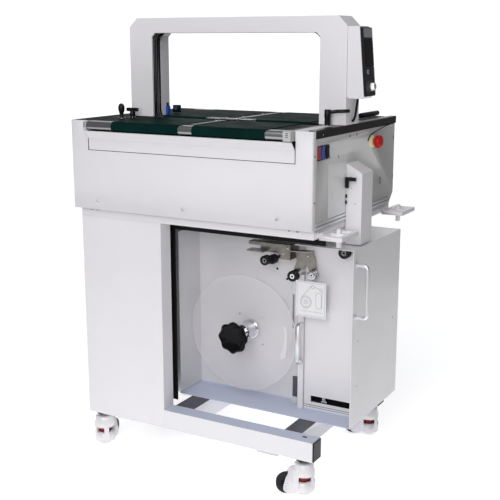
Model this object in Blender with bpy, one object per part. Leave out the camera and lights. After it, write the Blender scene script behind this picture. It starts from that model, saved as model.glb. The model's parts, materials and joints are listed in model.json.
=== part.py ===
"""Arch strapping machine on levelling casters, as separate parts.

While the parts are made, X runs from the body's left side, Y from its front face and Z from the floor.
At the end everything moves together, so that the origin is on the floor under the machine's middle.
"""
import math

import bmesh
import bpy
from mathutils import Matrix, Vector

for old in list(bpy.data.objects):
    bpy.data.objects.remove(old, do_unlink=True)

# ---- driving dimensions, in metres ----
sheet = 0.0025                  # thickness of the folded covers
gap = 0.0003                    # between pieces that touch
over = 0.010                    # how far a cutting shape runs past what it cuts
body_width = 0.820
body_depth = 0.5955
table_height = 1.055
body_bottom = table_height - 0.271
table_sheet = 0.004
panel_return = 0.016            # how far the front cover folds back at its sides
fold_radius = 0.005

frame_tube = 0.050              # upper frame's tube width
frame_bottom = body_bottom - 0.0245
frame_inset_front = 0.0123
frame_inset_side = 0.0201
frame_back = body_depth - 0.0305

column_right = 0.315            # outer corner of the left column
column_service_x = 0.262        # right wall of the column behind the reel unit's front
column_slot_end = 0.150         # front edge of that wall
base_bottom = 0.1096
base_height = 0.0596            # height of the base tubes
base_tube = 0.0512              # depth of the front and rear base tubes
base_right = body_width + 0.005
base_rear = frame_back - 0.060
cross_tubes = ((0.324, 0.392), (body_width - 0.111, body_width - 0.053))
tube_wall = 0.003

arch_left = 0.080
arch_right = body_width + 0.002
arch_front = 0.203
arch_depth = 0.094
arch_leg = 0.0835
arch_top = table_height + 0.303
arch_beam = 0.046
arch_chamfer = 0.028
arch_inner_chamfer = 0.012
arch_wall = 0.0028
track_front = 0.2100            # mouth of the strap channel
track_width = 0.040
track_depth = 0.010
track_corner = 0.030

roller_radius = 0.013
belt_thickness = 0.0017
belt_rise = 0.001               # belts above the table height
belt_inner = roller_radius + gap
belt_outer = belt_inner + belt_thickness
axis_z = table_height + belt_rise - belt_outer
roller_front_y = -0.010
roller_rear_y = body_depth - sheet - belt_outer - 0.003
roller_span = (0.0760, body_width - 0.0793)
journal_radius = 0.004
journal_length = 0.006
belt_middle = (0.404, 0.452)    # inner edges of the left and right belts
belt_columns = ((arch_left + arch_leg + 0.0065, belt_middle[0]), (belt_middle[1], body_width - 0.135))
cheek_left = 0.0662
cheek_right = body_width - 0.056
cheek_reach = 0.014             # cheek material in front of the roller's axis
cheek_low = axis_z - roller_radius - 0.0005

notch_left = 0.0655
notch_right = body_width - 0.0535
notch_bottom = axis_z - belt_outer - 0.0595
flap_lip = 0.0215               # how far the flap's upper strip stands out
flap_slope = 0.0235

base_top = base_bottom + base_height

flange_radius = 0.188
reel_front = 0.157              # front edge of the pull-out reel unit
reel_left = 0.280
reel_right = body_width + 0.057
reel_rear = body_depth - 0.0705
reel_top = frame_bottom - 0.0505
reel_back_plate = 0.280
reel_x = reel_left + flange_radius + 0.009
reel_z = base_top + flange_radius + 0.0308
post_x = (reel_x + flange_radius + 0.003, reel_x + flange_radius + 0.021)
post_y = (0.229, 0.264)
post_top = reel_top - 0.109
reel_plate_right = post_x[1] + 0.002
cabinet_front = 0.235
flange_thickness = 0.003
flange_y = 0.2220
hub_radius = 0.026
hub_ring_radius = 0.032
neck_radius = 0.018
knob_radius = 0.050
knob_front = 0.1525
knob_depth = 0.037

wheel_radius = 0.031
wheel_width = 0.022
foot_radius = 0.0190
wheel_trail = foot_radius + wheel_radius + 0.001
caster_radius = 0.0325
bearing_radius = 0.0285
foot_lift = 0.006               # foot above the floor while the machine rolls
stem_radius = 0.006
caster_right = body_width - 0.0335
caster_rear = base_rear + 0.025
caster_places = {               # x, y and heading in degrees
    "front_left": (0.058, 0.040, 100),
    "front_right": (caster_right, 0.038, -151),
    "rear_left": (0.058, caster_rear, 60),
    "rear_right": (caster_right, caster_rear, 200),
}

rail_height = 0.022
rail_width = 0.0225

# derived levels
cover_top = table_height - 0.0005
deck_top = table_height - 0.001
deck_bottom = deck_top - table_sheet
tray_top = base_top + 2 * gap + sheet
front_belt_end = track_front - belt_outer
rear_belt_start = track_front + track_width + belt_outer
arch_rear = arch_front + arch_depth
arch_foot = table_height + 0.0006

# ---- finishes: colour, roughness, metallic ----
finishes = {
    "white_paint": ((0.80, 0.78, 0.80), 0.35, 0.0),
    "deck_paint": ((0.20, 0.22, 0.22), 0.45, 0.1),
    "green_belt": ((0.01, 0.06, 0.05), 0.55, 0.0),
    "black_plastic": ((0.015, 0.015, 0.017), 0.40, 0.0),
    "black_anodised": ((0.02, 0.02, 0.022), 0.35, 0.6),
    "bright_steel": ((0.62, 0.62, 0.63), 0.25, 1.0),
    "zinc": ((0.52, 0.50, 0.45), 0.35, 1.0),
    "aluminium": ((0.70, 0.71, 0.73), 0.32, 1.0),
    "clear_plastic": ((0.85, 0.84, 0.86), 0.10, 0.0),
    "red_plastic": ((0.60, 0.02, 0.02), 0.30, 0.0),
    "blue_plastic": ((0.03, 0.10, 0.45), 0.30, 0.0),
    "rubber": ((0.02, 0.02, 0.02), 0.75, 0.0),
    "label_plate": ((0.86, 0.86, 0.87), 0.40, 0.0),
}


def finish(name):
    """Material with the finish's colour, made once."""
    made = bpy.data.materials.get(name)
    if made:
        return made
    colour, roughness, metallic = finishes[name]
    made = bpy.data.materials.new(name)
    made.use_nodes = True
    shader = made.node_tree.nodes["Principled BSDF"]
    shader.inputs["Base Color"].default_value = (*colour, 1.0)
    shader.inputs["Roughness"].default_value = roughness
    shader.inputs["Metallic"].default_value = metallic
    made.diffuse_color = (*colour, 1.0)
    return made


# ---- shapes, each a closed bmesh ----
def block(x, y, z):
    """Box between two values on each axis."""
    shape = bmesh.new()
    bmesh.ops.create_cube(shape, size=1.0)
    lows = Vector((x[0], y[0], z[0]))
    highs = Vector((x[1], y[1], z[1]))
    size = highs - lows
    for vertex in shape.verts:
        vertex.co = lows + Vector((0.5 + vertex.co.x, 0.5 + vertex.co.y, 0.5 + vertex.co.z)) * size
    return shape


def prism(outline, axis, start, end):
    """Flat outline, in the order of the two other axes, carried along an axis from start to end."""
    shape = bmesh.new()
    place = {
        "X": lambda a, b, along: (along, a, b),
        "Y": lambda a, b, along: (a, along, b),
        "Z": lambda a, b, along: (a, b, along),
    }[axis]
    near = [shape.verts.new(place(a, b, start)) for a, b in outline]
    far = [shape.verts.new(place(a, b, end)) for a, b in outline]
    shape.faces.new(near)
    shape.faces.new(list(reversed(far)))
    count = len(outline)
    for i in range(count):
        j = (i + 1) % count
        shape.faces.new((near[i], far[i], far[j], near[j]))
    bmesh.ops.recalc_face_normals(shape, faces=shape.faces)
    return shape


def ring_prism(outer, inner, axis, start, end):
    """Closed band between two outlines with the same number of points."""
    shape = bmesh.new()
    place = {
        "X": lambda a, b, along: (along, a, b),
        "Y": lambda a, b, along: (a, along, b),
    }[axis]
    loops = []
    for outline, along in ((outer, start), (outer, end), (inner, end), (inner, start)):
        loops.append([shape.verts.new(place(a, b, along)) for a, b in outline])
    count = len(outer)
    for k in range(4):
        one, two = loops[k], loops[(k + 1) % 4]
        for i in range(count):
            j = (i + 1) % count
            shape.faces.new((one[i], one[j], two[j], two[i]))
    bmesh.ops.recalc_face_normals(shape, faces=shape.faces)
    return shape


def arc(centre, radius, start, end, steps):
    """Points on an arc, angles in degrees."""
    points = []
    for i in range(steps + 1):
        angle = math.radians(start + (end - start) * i / steps)
        points.append((centre[0] + radius * math.cos(angle), centre[1] + radius * math.sin(angle)))
    return points


def rounded_box(a, b, radius, steps):
    """Rectangle outline with round corners."""
    low_a, high_a = a
    low_b, high_b = b
    outline = arc((high_a - radius, high_b - radius), radius, 0, 90, steps)
    outline += arc((low_a + radius, high_b - radius), radius, 90, 180, steps)
    outline += arc((low_a + radius, low_b + radius), radius, 180, 270, steps)
    outline += arc((high_a - radius, low_b + radius), radius, 270, 360, steps)
    return outline


def turned(profile, centre, direction, sides=24, lobes=0, lobe_depth=0.0):
    """Profile of (distance along, radius) turned about a line; lobes wave a hand knob's widest rings."""
    shape = bmesh.new()
    frame = Vector(direction).normalized().to_track_quat("Z", "Y").to_matrix()
    widest = max(radius for _, radius in profile)
    rings = []
    for along, radius in profile:
        ring = []
        for i in range(sides):
            angle = 2 * math.pi * i / sides
            wave = lobe_depth * (radius / widest) ** 2 * math.cos(lobes * angle)
            local = Vector(((radius + wave) * math.cos(angle), (radius + wave) * math.sin(angle), along))
            ring.append(shape.verts.new(Vector(centre) + frame @ local))
        rings.append(ring)
    for one, two in zip(rings, rings[1:]):
        for i in range(sides):
            j = (i + 1) % sides
            shape.faces.new((one[i], one[j], two[j], two[i]))
    shape.faces.new(list(reversed(rings[0])))
    shape.faces.new(rings[-1])
    bmesh.ops.recalc_face_normals(shape, faces=shape.faces)
    return shape


def cylinder(centre, direction, radius, length, sides=16):
    """Round bar from its centre of one end along a direction."""
    return turned([(0.0, radius), (length, radius)], centre, direction, sides)


def swept(path, radius, sides=10):
    """Round bar carried along a path of points."""
    shape = bmesh.new()
    points = [Vector(point) for point in path]
    rings = []
    across = None
    for i, point in enumerate(points):
        ahead = points[min(i + 1, len(points) - 1)] - points[max(i - 1, 0)]
        ahead.normalize()
        if across is None:
            across = ahead.orthogonal().normalized()
        across = (across - ahead * across.dot(ahead)).normalized()
        other = ahead.cross(across)
        ring = []
        for k in range(sides):
            angle = 2 * math.pi * k / sides
            offset = across * math.cos(angle) + other * math.sin(angle)
            ring.append(shape.verts.new(point + offset * radius))
        rings.append(ring)
    for one, two in zip(rings, rings[1:]):
        for k in range(sides):
            m = (k + 1) % sides
            shape.faces.new((one[k], one[m], two[m], two[k]))
    shape.faces.new(list(reversed(rings[0])))
    shape.faces.new(rings[-1])
    bmesh.ops.recalc_face_normals(shape, faces=shape.faces)
    return shape


# ---- parts ----
def add(name, shape, finish_name, pivot=(0.0, 0.0, 0.0), smooth=False, bevel=0.0):
    """Named part from a closed shape, with its origin at the pivot."""
    pivot = Vector(pivot)
    bmesh.ops.translate(shape, verts=shape.verts, vec=-pivot)
    mesh = bpy.data.meshes.new(name)
    shape.to_mesh(mesh)
    shape.free()
    mesh.materials.append(finish(finish_name))
    part = bpy.data.objects.new(name, mesh)
    part.location = pivot
    bpy.context.collection.objects.link(part)
    if smooth:
        mesh.shade_smooth()
        mesh.set_sharp_from_angle(angle=math.radians(35))
    if bevel:
        edge = part.modifiers.new("edge", "BEVEL")
        edge.width = bevel
        edge.segments = 2
        edge.limit_method = "ANGLE"
        edge.angle_limit = math.radians(50)
    return part


def combine(part, shape, operation):
    """Boolean with a hidden helper shape that is drawn as a wire."""
    helper_name = f"{part.name}_helper_{len(part.modifiers)}"
    mesh = bpy.data.meshes.new(helper_name)
    shape.to_mesh(mesh)
    shape.free()
    helper = bpy.data.objects.new(helper_name, mesh)
    bpy.context.collection.objects.link(helper)
    helper.hide_render = True
    helper.display_type = "WIRE"
    step = part.modifiers.new(f"{operation.lower()}_{len(part.modifiers)}", "BOOLEAN")
    step.operation = operation
    step.object = helper
    step.solver = "EXACT"


def cut(part, shape):
    combine(part, shape, "DIFFERENCE")


def join(part, shape):
    combine(part, shape, "UNION")


def make_front_panel():
    """Front cover: a sheet folded back at both sides, notched at the top for the roller and the flap."""
    left = arc((fold_radius, fold_radius), fold_radius, 180, 270, 5)
    right = arc((body_width - fold_radius, fold_radius), fold_radius, 270, 360, 5)
    outline = left + right
    outline += [(body_width, panel_return), (body_width - sheet, panel_return)]
    outline += [(body_width - sheet, fold_radius), (body_width - fold_radius, sheet)]
    outline += [(fold_radius, sheet), (sheet, fold_radius), (sheet, panel_return), (0.0, panel_return)]
    panel = add("front_panel", prism(outline, "Z", body_bottom, cover_top), "white_paint", smooth=True)
    cut(panel, block((notch_left, notch_right), (-over, panel_return), (notch_bottom, table_height + over)))


side_chamfer = 0.031
side_front = panel_return + gap
side_top = cover_top - rail_height
switch_y = (0.021, 0.113)
switch_z = (table_height - 0.087, table_height - 0.037)
pocket_depth = 0.006
pocket_rim = 0.004
estop_y = 0.400
estop_z = table_height - 0.061
estop_stem_radius = 0.008
collar_radius = 0.019
collar_height = 0.012


def side_outline(top):
    """Side cover's outline with the sloping rear corner."""
    outline = [(side_front, body_bottom), (body_depth - side_chamfer, body_bottom)]
    outline += [(body_depth, body_bottom + side_chamfer), (body_depth, top), (side_front, top)]
    return outline


def make_side_panels():
    """Left and right covers; the right one carries the switch pocket and the stop button's collar."""
    add("left_side_panel", prism(side_outline(cover_top), "X", 0.0, sheet), "white_paint")
    outer = body_width
    right = add("right_side_panel", prism(side_outline(side_top), "X", outer - sheet, outer), "white_paint")
    join(right, block((outer - 0.012, outer - sheet + 0.0005), switch_y, switch_z))
    pocket_y = (switch_y[0] + pocket_rim, switch_y[1] - pocket_rim)
    pocket_z = (switch_z[0] + pocket_rim, switch_z[1] - pocket_rim)
    cut(right, block((outer - pocket_depth, outer + over), pocket_y, pocket_z))
    collar = [(0.0, collar_radius), (0.009, collar_radius), (collar_height, collar_radius - 0.003)]
    join(right, turned(collar, (outer - 0.001, estop_y, estop_z), (1, 0, 0), 20))
    hole_radius = estop_stem_radius + gap
    hole_length = collar_height + 2 * over
    cut(right, cylinder((outer - over, estop_y, estop_z), (1, 0, 0), hole_radius, hole_length, 14))


def make_rear_panel():
    """Rear cover with its sloping lower strip."""
    y = body_depth
    top = cover_top
    slope = sheet * math.tan(math.radians(22.5))
    low = y - side_chamfer
    outline = [(y, top), (y, body_bottom + side_chamfer), (low + sheet, body_bottom + sheet)]
    outline += [(low - slope, body_bottom + sheet), (y - sheet, body_bottom + side_chamfer + slope)]
    outline += [(y - sheet, top)]
    span = (sheet + gap, body_width - sheet - gap)
    panel = add("rear_panel", prism(outline, "X", *span), "white_paint")
    rail_room = (table_height - rail_height - gap, table_height + over)
    cut(panel, block((body_width - rail_width - gap, body_width), (y - over, y + over), rail_room))


bracket_x = (body_width + 0.016, body_width + 0.084)
bracket_bar = 0.013
bracket_rib = 0.0065            # half the width of the bar across the bracket's middle
bracket_z = (frame_bottom + 0.003, frame_bottom + 0.015)
bracket_fronts = (0.010, frame_back - 0.103)
bracket_length = 0.112
rod_thin = 0.0060
rod_thick = 0.0085


def make_upper_frame():
    """Ring of tubes under the body, with a square clamp bracket on a rod at each end of the right side."""
    x = (frame_inset_side, body_width - 0.0005)
    y = (frame_inset_front, frame_back)
    z = (frame_bottom, body_bottom - gap)
    frame = add("upper_frame", block(x, y, z), "white_paint")
    inner_x = (x[0] + frame_tube, x[1] - frame_tube)
    inner_y = (y[0] + frame_tube, y[1] - frame_tube)
    cut(frame, block(inner_x, inner_y, (z[0] - over, z[1] + over)))
    rod_z = (bracket_z[0] + bracket_z[1]) / 2
    for front in bracket_fronts:
        middle = front + bracket_length / 2
        rod = [(0.0, rod_thin), (0.012, rod_thin), (0.0121, rod_thick), (0.021, rod_thick)]
        rod += [(0.0211, rod_thin), (0.045, rod_thin)]
        join(frame, turned(rod, (body_width - 0.008, middle - 0.02, rod_z), (1, 0, 0), 12))
        join(frame, block(bracket_x, (front, front + bracket_length), bracket_z))
        hole_x = (bracket_x[0] + bracket_bar, bracket_x[1] - bracket_bar)
        near_hole = (front + bracket_bar, middle - bracket_rib)
        far_hole = (middle + bracket_rib, front + bracket_length - bracket_bar)
        for hole in (near_hole, far_hole):
            cut(frame, block(hole_x, hole, (bracket_z[0] - over, bracket_z[1] + over)))
        stud = [(0.0, 0.0075), (0.048, 0.0075), (0.052, 0.0055)]
        stud_low = (sum(bracket_x) / 2, middle, bracket_z[0] - 0.0265)
        join(frame, turned(stud, stud_low, (0, 0, 1), 12))


def make_left_column():
    """Open column of folded sheet; its inner side has a wide slot towards the reel unit."""
    w = sheet
    front, back = frame_inset_front, frame_back
    left = frame_inset_side
    service = column_service_x
    lip = frame_inset_front + base_tube
    outline = [(column_right, lip), (column_right, front), (left, front), (left, back), (service, back)]
    outline += [(service, column_slot_end), (service - w, column_slot_end), (service - w, back - w)]
    outline += [(left + w, back - w)]
    outline += [(left + w, front + w), (column_right - w, front + w), (column_right - w, lip)]
    column = add("left_column", prism(outline, "Z", base_bottom, frame_bottom - gap), "white_paint")
    under = (base_bottom - over, base_top + gap)
    wall_y = (column_slot_end - over, back - w - 0.0001)
    cut(column, block((service - 2 * over, service + over), wall_y, under))
    cut(column, block((column_right - 2 * w, column_right + over), (front + w, lip + over), under))


hollow_start = column_right + 0.095
foot_plate_x = (body_width - 0.179, body_width - 0.110)
caster_plate_radius = 0.0225
caster_nut_radius = 0.0115


def make_base_frame():
    """Welded base: front, rear, left and cross tubes, with a plate, nut and stem for each caster."""
    inside = frame_inset_side + sheet + gap
    z = (base_bottom, base_top)
    front = frame_inset_front
    tube_back = front + base_tube
    base = add("base_frame", block((column_right + gap, base_right), (front, tube_back), z), "white_paint")
    hollow_y = (front + tube_wall, tube_back - tube_wall)
    hollow_z = (z[0] + tube_wall, z[1] - tube_wall)
    join(base, block((inside, column_right + over), (front + sheet + gap, tube_back), z))
    join(base, block((inside, base_right), (base_rear, base_rear + base_tube), z))
    join(base, block((inside, inside + 0.062), (front + 2 * over, base_rear + 2 * over), z))
    for x in cross_tubes:
        join(base, block(x, (tube_back - over, base_rear + over), z))
    for y in (hollow_y, (base_rear + tube_wall, base_rear + base_tube - tube_wall)):
        cut(base, block((hollow_start, base_right + over), y, hollow_z))
    foot_plate_z = (base_bottom - 0.008, base_bottom + 0.001)
    join(base, block(foot_plate_x, (front + 0.006, front + 0.044), foot_plate_z))
    for x, y, _ in caster_places.values():
        join(base, cylinder((x, y, base_bottom - 0.0062), (0, 0, 1), caster_plate_radius, 0.007, 16))
        join(base, cylinder((x, y, base_bottom - 0.0150), (0, 0, 1), caster_nut_radius, 0.010, 6))
        join(base, cylinder((x, y, base_bottom - 0.028), (0, 0, 1), stem_radius, 0.015, 10))


def make_deck():
    """Table plate that the belts slide on, with a cheek at each end of both rollers."""
    x = (sheet + gap, body_width - rail_width - gap)
    outline_y = (side_front, body_depth - sheet - gap)
    deck = add("table_top", block(x, outline_y, (deck_bottom, deck_top)), "deck_paint")
    join(deck, block((cheek_left, cheek_right), (0.0065, outline_y[0] + over), (deck_bottom, deck_top)))
    slot_x = (arch_left + arch_leg - track_depth - 0.003, arch_right - arch_leg + track_depth + 0.003)
    through = (deck_bottom - over, deck_top + over)
    cut(deck, block(slot_x, (front_belt_end, rear_belt_start), through))
    roller_room = (roller_span[0] - gap, roller_span[1] + gap)
    rear_room = roller_rear_y - belt_outer - 0.005
    cut(deck, block(roller_room, (rear_room, outline_y[1] + over), through))
    for side in ((cheek_left, roller_room[0]), (roller_room[1], cheek_right)):
        join(deck, block(side, (roller_front_y - cheek_reach, 0.012), (cheek_low, deck_top)))
        join(deck, block(side, (rear_room, roller_rear_y + cheek_reach), (cheek_low, deck_bottom + 0.001)))
    for y in (roller_front_y, roller_rear_y):
        start = roller_span[0] - journal_length - gap
        length = roller_span[1] - roller_span[0] + 2 * (journal_length + gap)
        cut(deck, cylinder((start, y, axis_z), (1, 0, 0), journal_radius + gap, length, 12))


def make_roller(name, y):
    """Steel roller with a journal at each end."""
    length = roller_span[1] - roller_span[0]
    edge = 0.001
    profile = [(-journal_length, journal_radius), (0.0, journal_radius), (edge, roller_radius)]
    profile += [(length - edge, roller_radius), (length, journal_radius)]
    profile += [(length + journal_length, journal_radius)]
    shape = turned(profile, (roller_span[0], y, axis_z), (1, 0, 0), 24)
    add(name, shape, "bright_steel", (roller_span[0] + length / 2, y, axis_z), smooth=True)


def make_belt(name, x, y):
    """Flat belt: a closed band round two ends."""
    outer = arc((y[0], axis_z), belt_outer, 90, 270, 10) + arc((y[1], axis_z), belt_outer, -90, 90, 10)
    inner = arc((y[0], axis_z), belt_inner, 90, 270, 10) + arc((y[1], axis_z), belt_inner, -90, 90, 10)
    add(name, ring_prism(outer, inner, "X", *x), "green_belt", smooth=True)


def make_flap():
    """Hinged cover in the front notch: an upright strip with a lip that slopes out under the roller."""
    top = notch_bottom + 0.0340
    low = notch_bottom + 0.0005
    outline = [(-flap_lip, top + flap_slope), (0.0, top), (0.0, low), (sheet, low), (sheet, top + 0.001)]
    outline += [(-flap_lip + sheet, top + flap_slope + 0.0015)]
    shape = prism(outline, "X", notch_left + 0.0012, notch_right - 0.0012)
    add("front_flap", shape, "white_paint", (0.0, -0.0005, low))


def arch_ring(outset):
    """Arch outline: up the left side, over and down, and back round the opening."""
    left, right, top = arch_left + outset, arch_right - outset, arch_top - outset
    in_left, in_right = arch_left + arch_leg - outset, arch_right - arch_leg + outset
    in_top = arch_top - arch_beam + outset
    c, d = arch_chamfer, arch_inner_chamfer
    bend = outset * math.tan(math.radians(22.5))
    foot = arch_foot
    high = arch_top - c - bend
    in_high = arch_top - arch_beam - d + bend
    points = [(left, foot), (left, high), (arch_left + c + bend, top)]
    points += [(arch_right - c - bend, top), (right, high), (right, foot), (in_right, foot)]
    points += [(in_right, in_high), (arch_right - arch_leg - d + bend, in_top)]
    points += [(arch_left + arch_leg + d - bend, in_top), (in_left, in_high), (in_left, foot)]
    return points


def make_arch():
    """Sheet-metal arch, hollow inside, with a channel all round its opening for the strap track."""
    shape = prism(arch_ring(0.0), "Y", arch_front, arch_rear)
    arch = add("arch_frame", shape, "white_paint", bevel=0.0015)
    hollow = arch_ring(arch_wall)
    low = arch_foot - over
    hollow = [(x, low if abs(z - arch_foot) < 1e-6 else z) for x, z in hollow]
    cut(arch, prism(hollow, "Y", arch_front + arch_wall, arch_rear - arch_wall))
    mouth_x = (arch_left + arch_leg - 0.012, arch_right - arch_leg + 0.012)
    mouth = block(mouth_x, (track_front, track_front + track_width), (low, arch_top - arch_beam + 0.012))
    cut(arch, mouth)


track_side = 0.0005
track_bottom = 0.0105           # strap channel's floor below the belts
groove_depth = 0.003
groove_width = 0.018


def make_strap_track():
    """Closed loop of channel that guides the strap round the opening and under the table."""
    x = (arch_left + arch_leg - track_side, arch_right - arch_leg + track_side)
    z = (table_height - track_bottom, arch_top - arch_beam + track_side)
    inner = rounded_box(x, z, track_corner, 5)
    grown_x = (x[0] - track_depth, x[1] + track_depth)
    grown_z = (z[0] - track_depth, z[1] + track_depth)
    outer = rounded_box(grown_x, grown_z, track_corner + track_depth, 5)
    y = (track_front + track_side, track_front + track_width - track_side)
    track = add("strap_track", ring_prism(outer, inner, "Y", *y), "black_plastic")
    middle = (y[0] + y[1]) / 2
    d, c = groove_depth, track_corner
    deep = rounded_box((x[0] - d, x[1] + d), (z[0] - d, z[1] + d), c + d, 5)
    clear = rounded_box((x[0] + over, x[1] - over), (z[0] + over, z[1] - over), c - over, 5)
    cut(track, ring_prism(deep, clear, "Y", middle - groove_width / 2, middle + groove_width / 2))


head_x = (0.352, 0.512)
head_rise = 0.0035
slit_width = 0.015
head_joint = 0.004              # width of the two grooves between the head's plates


def make_seal_head():
    """Top plates of the sealing head, with the strap slit along the middle."""
    y = (track_front + 0.0045, track_front + track_width - 0.0045)
    low = table_height - track_bottom + gap
    shape = block(head_x, y, (low, table_height + head_rise))
    head = add("seal_head", shape, "bright_steel", bevel=0.0008)
    middle = (y[0] + y[1]) / 2
    slit_y = (middle - slit_width / 2, middle + slit_width / 2)
    slit_z = (table_height - 0.003, table_height + over)
    cut(head, block((head_x[0] - over, head_x[1] + over), slit_y, slit_z))
    joint_z = (table_height - 0.001, table_height + over)
    for x in (head_x[0] + 0.046, head_x[1] - 0.050):
        cut(head, block((x, x + head_joint), (y[0] - over, y[1] + over), joint_z))


# control box on the arch's right leg
box_z = (table_height + 0.076, table_height + 0.274)
box_top_x = arch_right + 0.035
box_low_x = arch_right + 0.052
box_y = (0.2055, 0.2735)
box_wall = 0.0025
box_corner = 0.006
panel_thickness = 0.008
box_face_z = box_z[0] + box_corner
box_slope = math.atan((box_low_x - box_top_x) / (box_z[1] - box_face_z))
panel_normal = Vector((math.cos(box_slope), 0.0, math.sin(box_slope)))
dial_yz = (0.240, box_z[0] + 0.032)
start_yz = (0.2235, box_z[0] + 0.073)


def on_panel(y, z, out):
    """Point on the control panel's face at a height, moved out along its normal."""
    share = (box_z[1] - z) / (box_z[1] - box_face_z)
    x = box_top_x + share * (box_low_x - box_top_x)
    return Vector((x, y, z)) + panel_normal * (gap + panel_thickness + out)


def make_control_box():
    """Wedge-shaped housing, its dark panel, the dial, the start button and the cable."""
    c = box_corner
    outer = [(arch_right + gap, box_z[1]), (box_top_x, box_z[1]), (box_low_x, box_z[0] + c)]
    outer += [(box_low_x - c, box_z[0]), (arch_right + gap + c, box_z[0]), (arch_right + gap, box_z[0] + c)]
    box = add("control_box", prism(outer, "Y", *box_y), "white_paint", bevel=0.0012)
    w = box_wall
    floor = box_z[0] + 0.01
    inner = [(arch_right - over, box_z[1] - w), (box_top_x - w, box_z[1] - w), (box_low_x - w, floor)]
    inner += [(arch_right - over, floor)]
    cut(box, prism(inner, "Y", box_y[0] + w, box_y[1] - w))
    margin = 0.0015
    low = on_panel(0.0, box_z[0] + 0.006, -panel_thickness)
    high = on_panel(0.0, box_z[1] - 0.004, -panel_thickness)
    out = panel_normal * panel_thickness
    outline = [(p.x, p.z) for p in (low, low + out, high + out, high)]
    shape = prism(outline, "Y", box_y[0] + margin, box_y[1] - margin)
    panel = add("control_panel", shape, "black_plastic", bevel=0.001)
    cut(panel, cylinder(on_panel(*dial_yz, -0.006), panel_normal, 0.0043, 0.02, 16))
    cut(panel, cylinder(on_panel(*start_yz, -0.004), panel_normal, 0.0043, 0.02, 16))
    dial = [(-0.005, 0.004), (0.0004, 0.004), (0.0005, 0.0115), (0.003, 0.012), (0.012, 0.0105)]
    dial += [(0.014, 0.0085)]
    dial_at = on_panel(*dial_yz, gap)
    add("dial_knob", turned(dial, dial_at, panel_normal, 20), "aluminium", dial_at, smooth=True)
    start_at = on_panel(*start_yz, 0.0)
    start = [(-0.0015, 0.004), (0.0022, 0.004), (0.0030, 0.0032)]
    add("start_button", turned(start, start_at, panel_normal, 14), "blue_plastic", start_at, smooth=True)


cable_radius = 0.0035


def make_control_cable():
    """Cable from the control box's underside into the arch's leg, just above the table."""
    x = arch_right + 0.0095
    top = box_z[0]
    knots = [(x, 0.262, top - gap), (x, 0.262, top - 0.012), (x - 0.001, 0.258, top - 0.030)]
    knots += [(x - 0.001, 0.251, top - 0.050), (x - 0.002, 0.247, top - 0.058)]
    knots += [(arch_right + 0.004, 0.246, top - 0.0645), (arch_right + 4 * gap, 0.246, top - 0.0645)]
    curve = bpy.data.curves.new("control_cable", "CURVE")
    curve.dimensions = "3D"
    curve.bevel_depth = cable_radius
    curve.bevel_resolution = 2
    curve.use_fill_caps = True
    line = curve.splines.new("POLY")
    points = smooth_route([Vector(knot) for knot in knots], 3)
    line.points.add(len(points) - 1)
    for i, point in enumerate(points):
        line.points[i].co = (*point, 1.0)
    curve.materials.append(finish("black_plastic"))
    cable = bpy.data.objects.new("control_cable", curve)
    bpy.context.collection.objects.link(cable)


def smooth_route(knots, steps):
    """Points on a smooth curve through the knots."""
    padded = [knots[0] * 2 - knots[1]] + knots + [knots[-1] * 2 - knots[-2]]
    points = []
    for a, b, c, d in zip(padded, padded[1:], padded[2:], padded[3:]):
        for i in range(steps):
            t = i / steps
            bend = (b * 3 - c * 3 + d - a) * t ** 3 + (a * 2 - b * 5 + c * 4 - d) * t ** 2
            points.append((b * 2 + (c - a) * t + bend) * 0.5)
    return points + [knots[-1]]


def make_estop():
    """Red mushroom head on a stem that slides in the collar."""
    face = body_width + collar_height
    at = (face, estop_y, estop_z)
    stem = estop_stem_radius
    profile = [(-0.008, stem), (0.0045, stem), (0.0046, 0.017), (0.007, 0.020), (0.016, 0.020)]
    profile += [(0.021, 0.0175), (0.025, 0.008)]
    add("estop_button", turned(profile, at, (1, 0, 0), 24), "red_plastic", at, smooth=True)


rocker_width = 0.018
rocker_pitch = 0.027
rocker_height = 0.034


def make_rockers():
    """Three rocker switches side by side in the pocket, each on a pin across its middle."""
    middle_y = (switch_y[0] + switch_y[1]) / 2
    middle_z = (switch_z[0] + switch_z[1]) / 2
    floor = body_width - pocket_depth
    for i, colour in enumerate(("red", "blue", "black")):
        y = middle_y + (i - 1) * rocker_pitch
        low, high = middle_z - rocker_height / 2, middle_z + rocker_height / 2
        outline = [(floor + 0.0008, middle_z), (floor + 0.0032, low), (floor + 0.0062, low + 0.0005)]
        outline += [(floor + 0.0050, middle_z), (floor + 0.0062, high - 0.0005), (floor + 0.0032, high)]
        shape = prism(outline, "Y", y - rocker_width / 2, y + rocker_width / 2)
        add(f"switch_{colour}", shape, f"{colour}_plastic", (floor + 0.003, y, middle_z))


rail_bolts_y = (0.064, body_depth - 0.0455)


def make_side_rail():
    """Black rail along the top of the right side."""
    x = (body_width - rail_width, body_width + 0.0005)
    y = (side_front, body_depth + 0.0015)
    z = (table_height - rail_height, table_height)
    rail = add("side_rail", block(x, y, z), "black_anodised", bevel=0.0012)
    for bolt_y in rail_bolts_y:
        cut(rail, cylinder((x[1] - 0.004, bolt_y, z[0] + 0.0075), (1, 0, 0), 0.0052, 0.02, 16))


chute_x = (body_width + gap, body_width + 0.050)
chute_y = (0.2203, 0.3000)
chute_wall = 0.002
chute_bottom = reel_top + 0.003
chute_top_inner = table_height - 0.107
chute_top_outer = table_height - 0.135
latch_at = (body_width + 0.0145, chute_y[0], table_height - 0.151)


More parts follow.
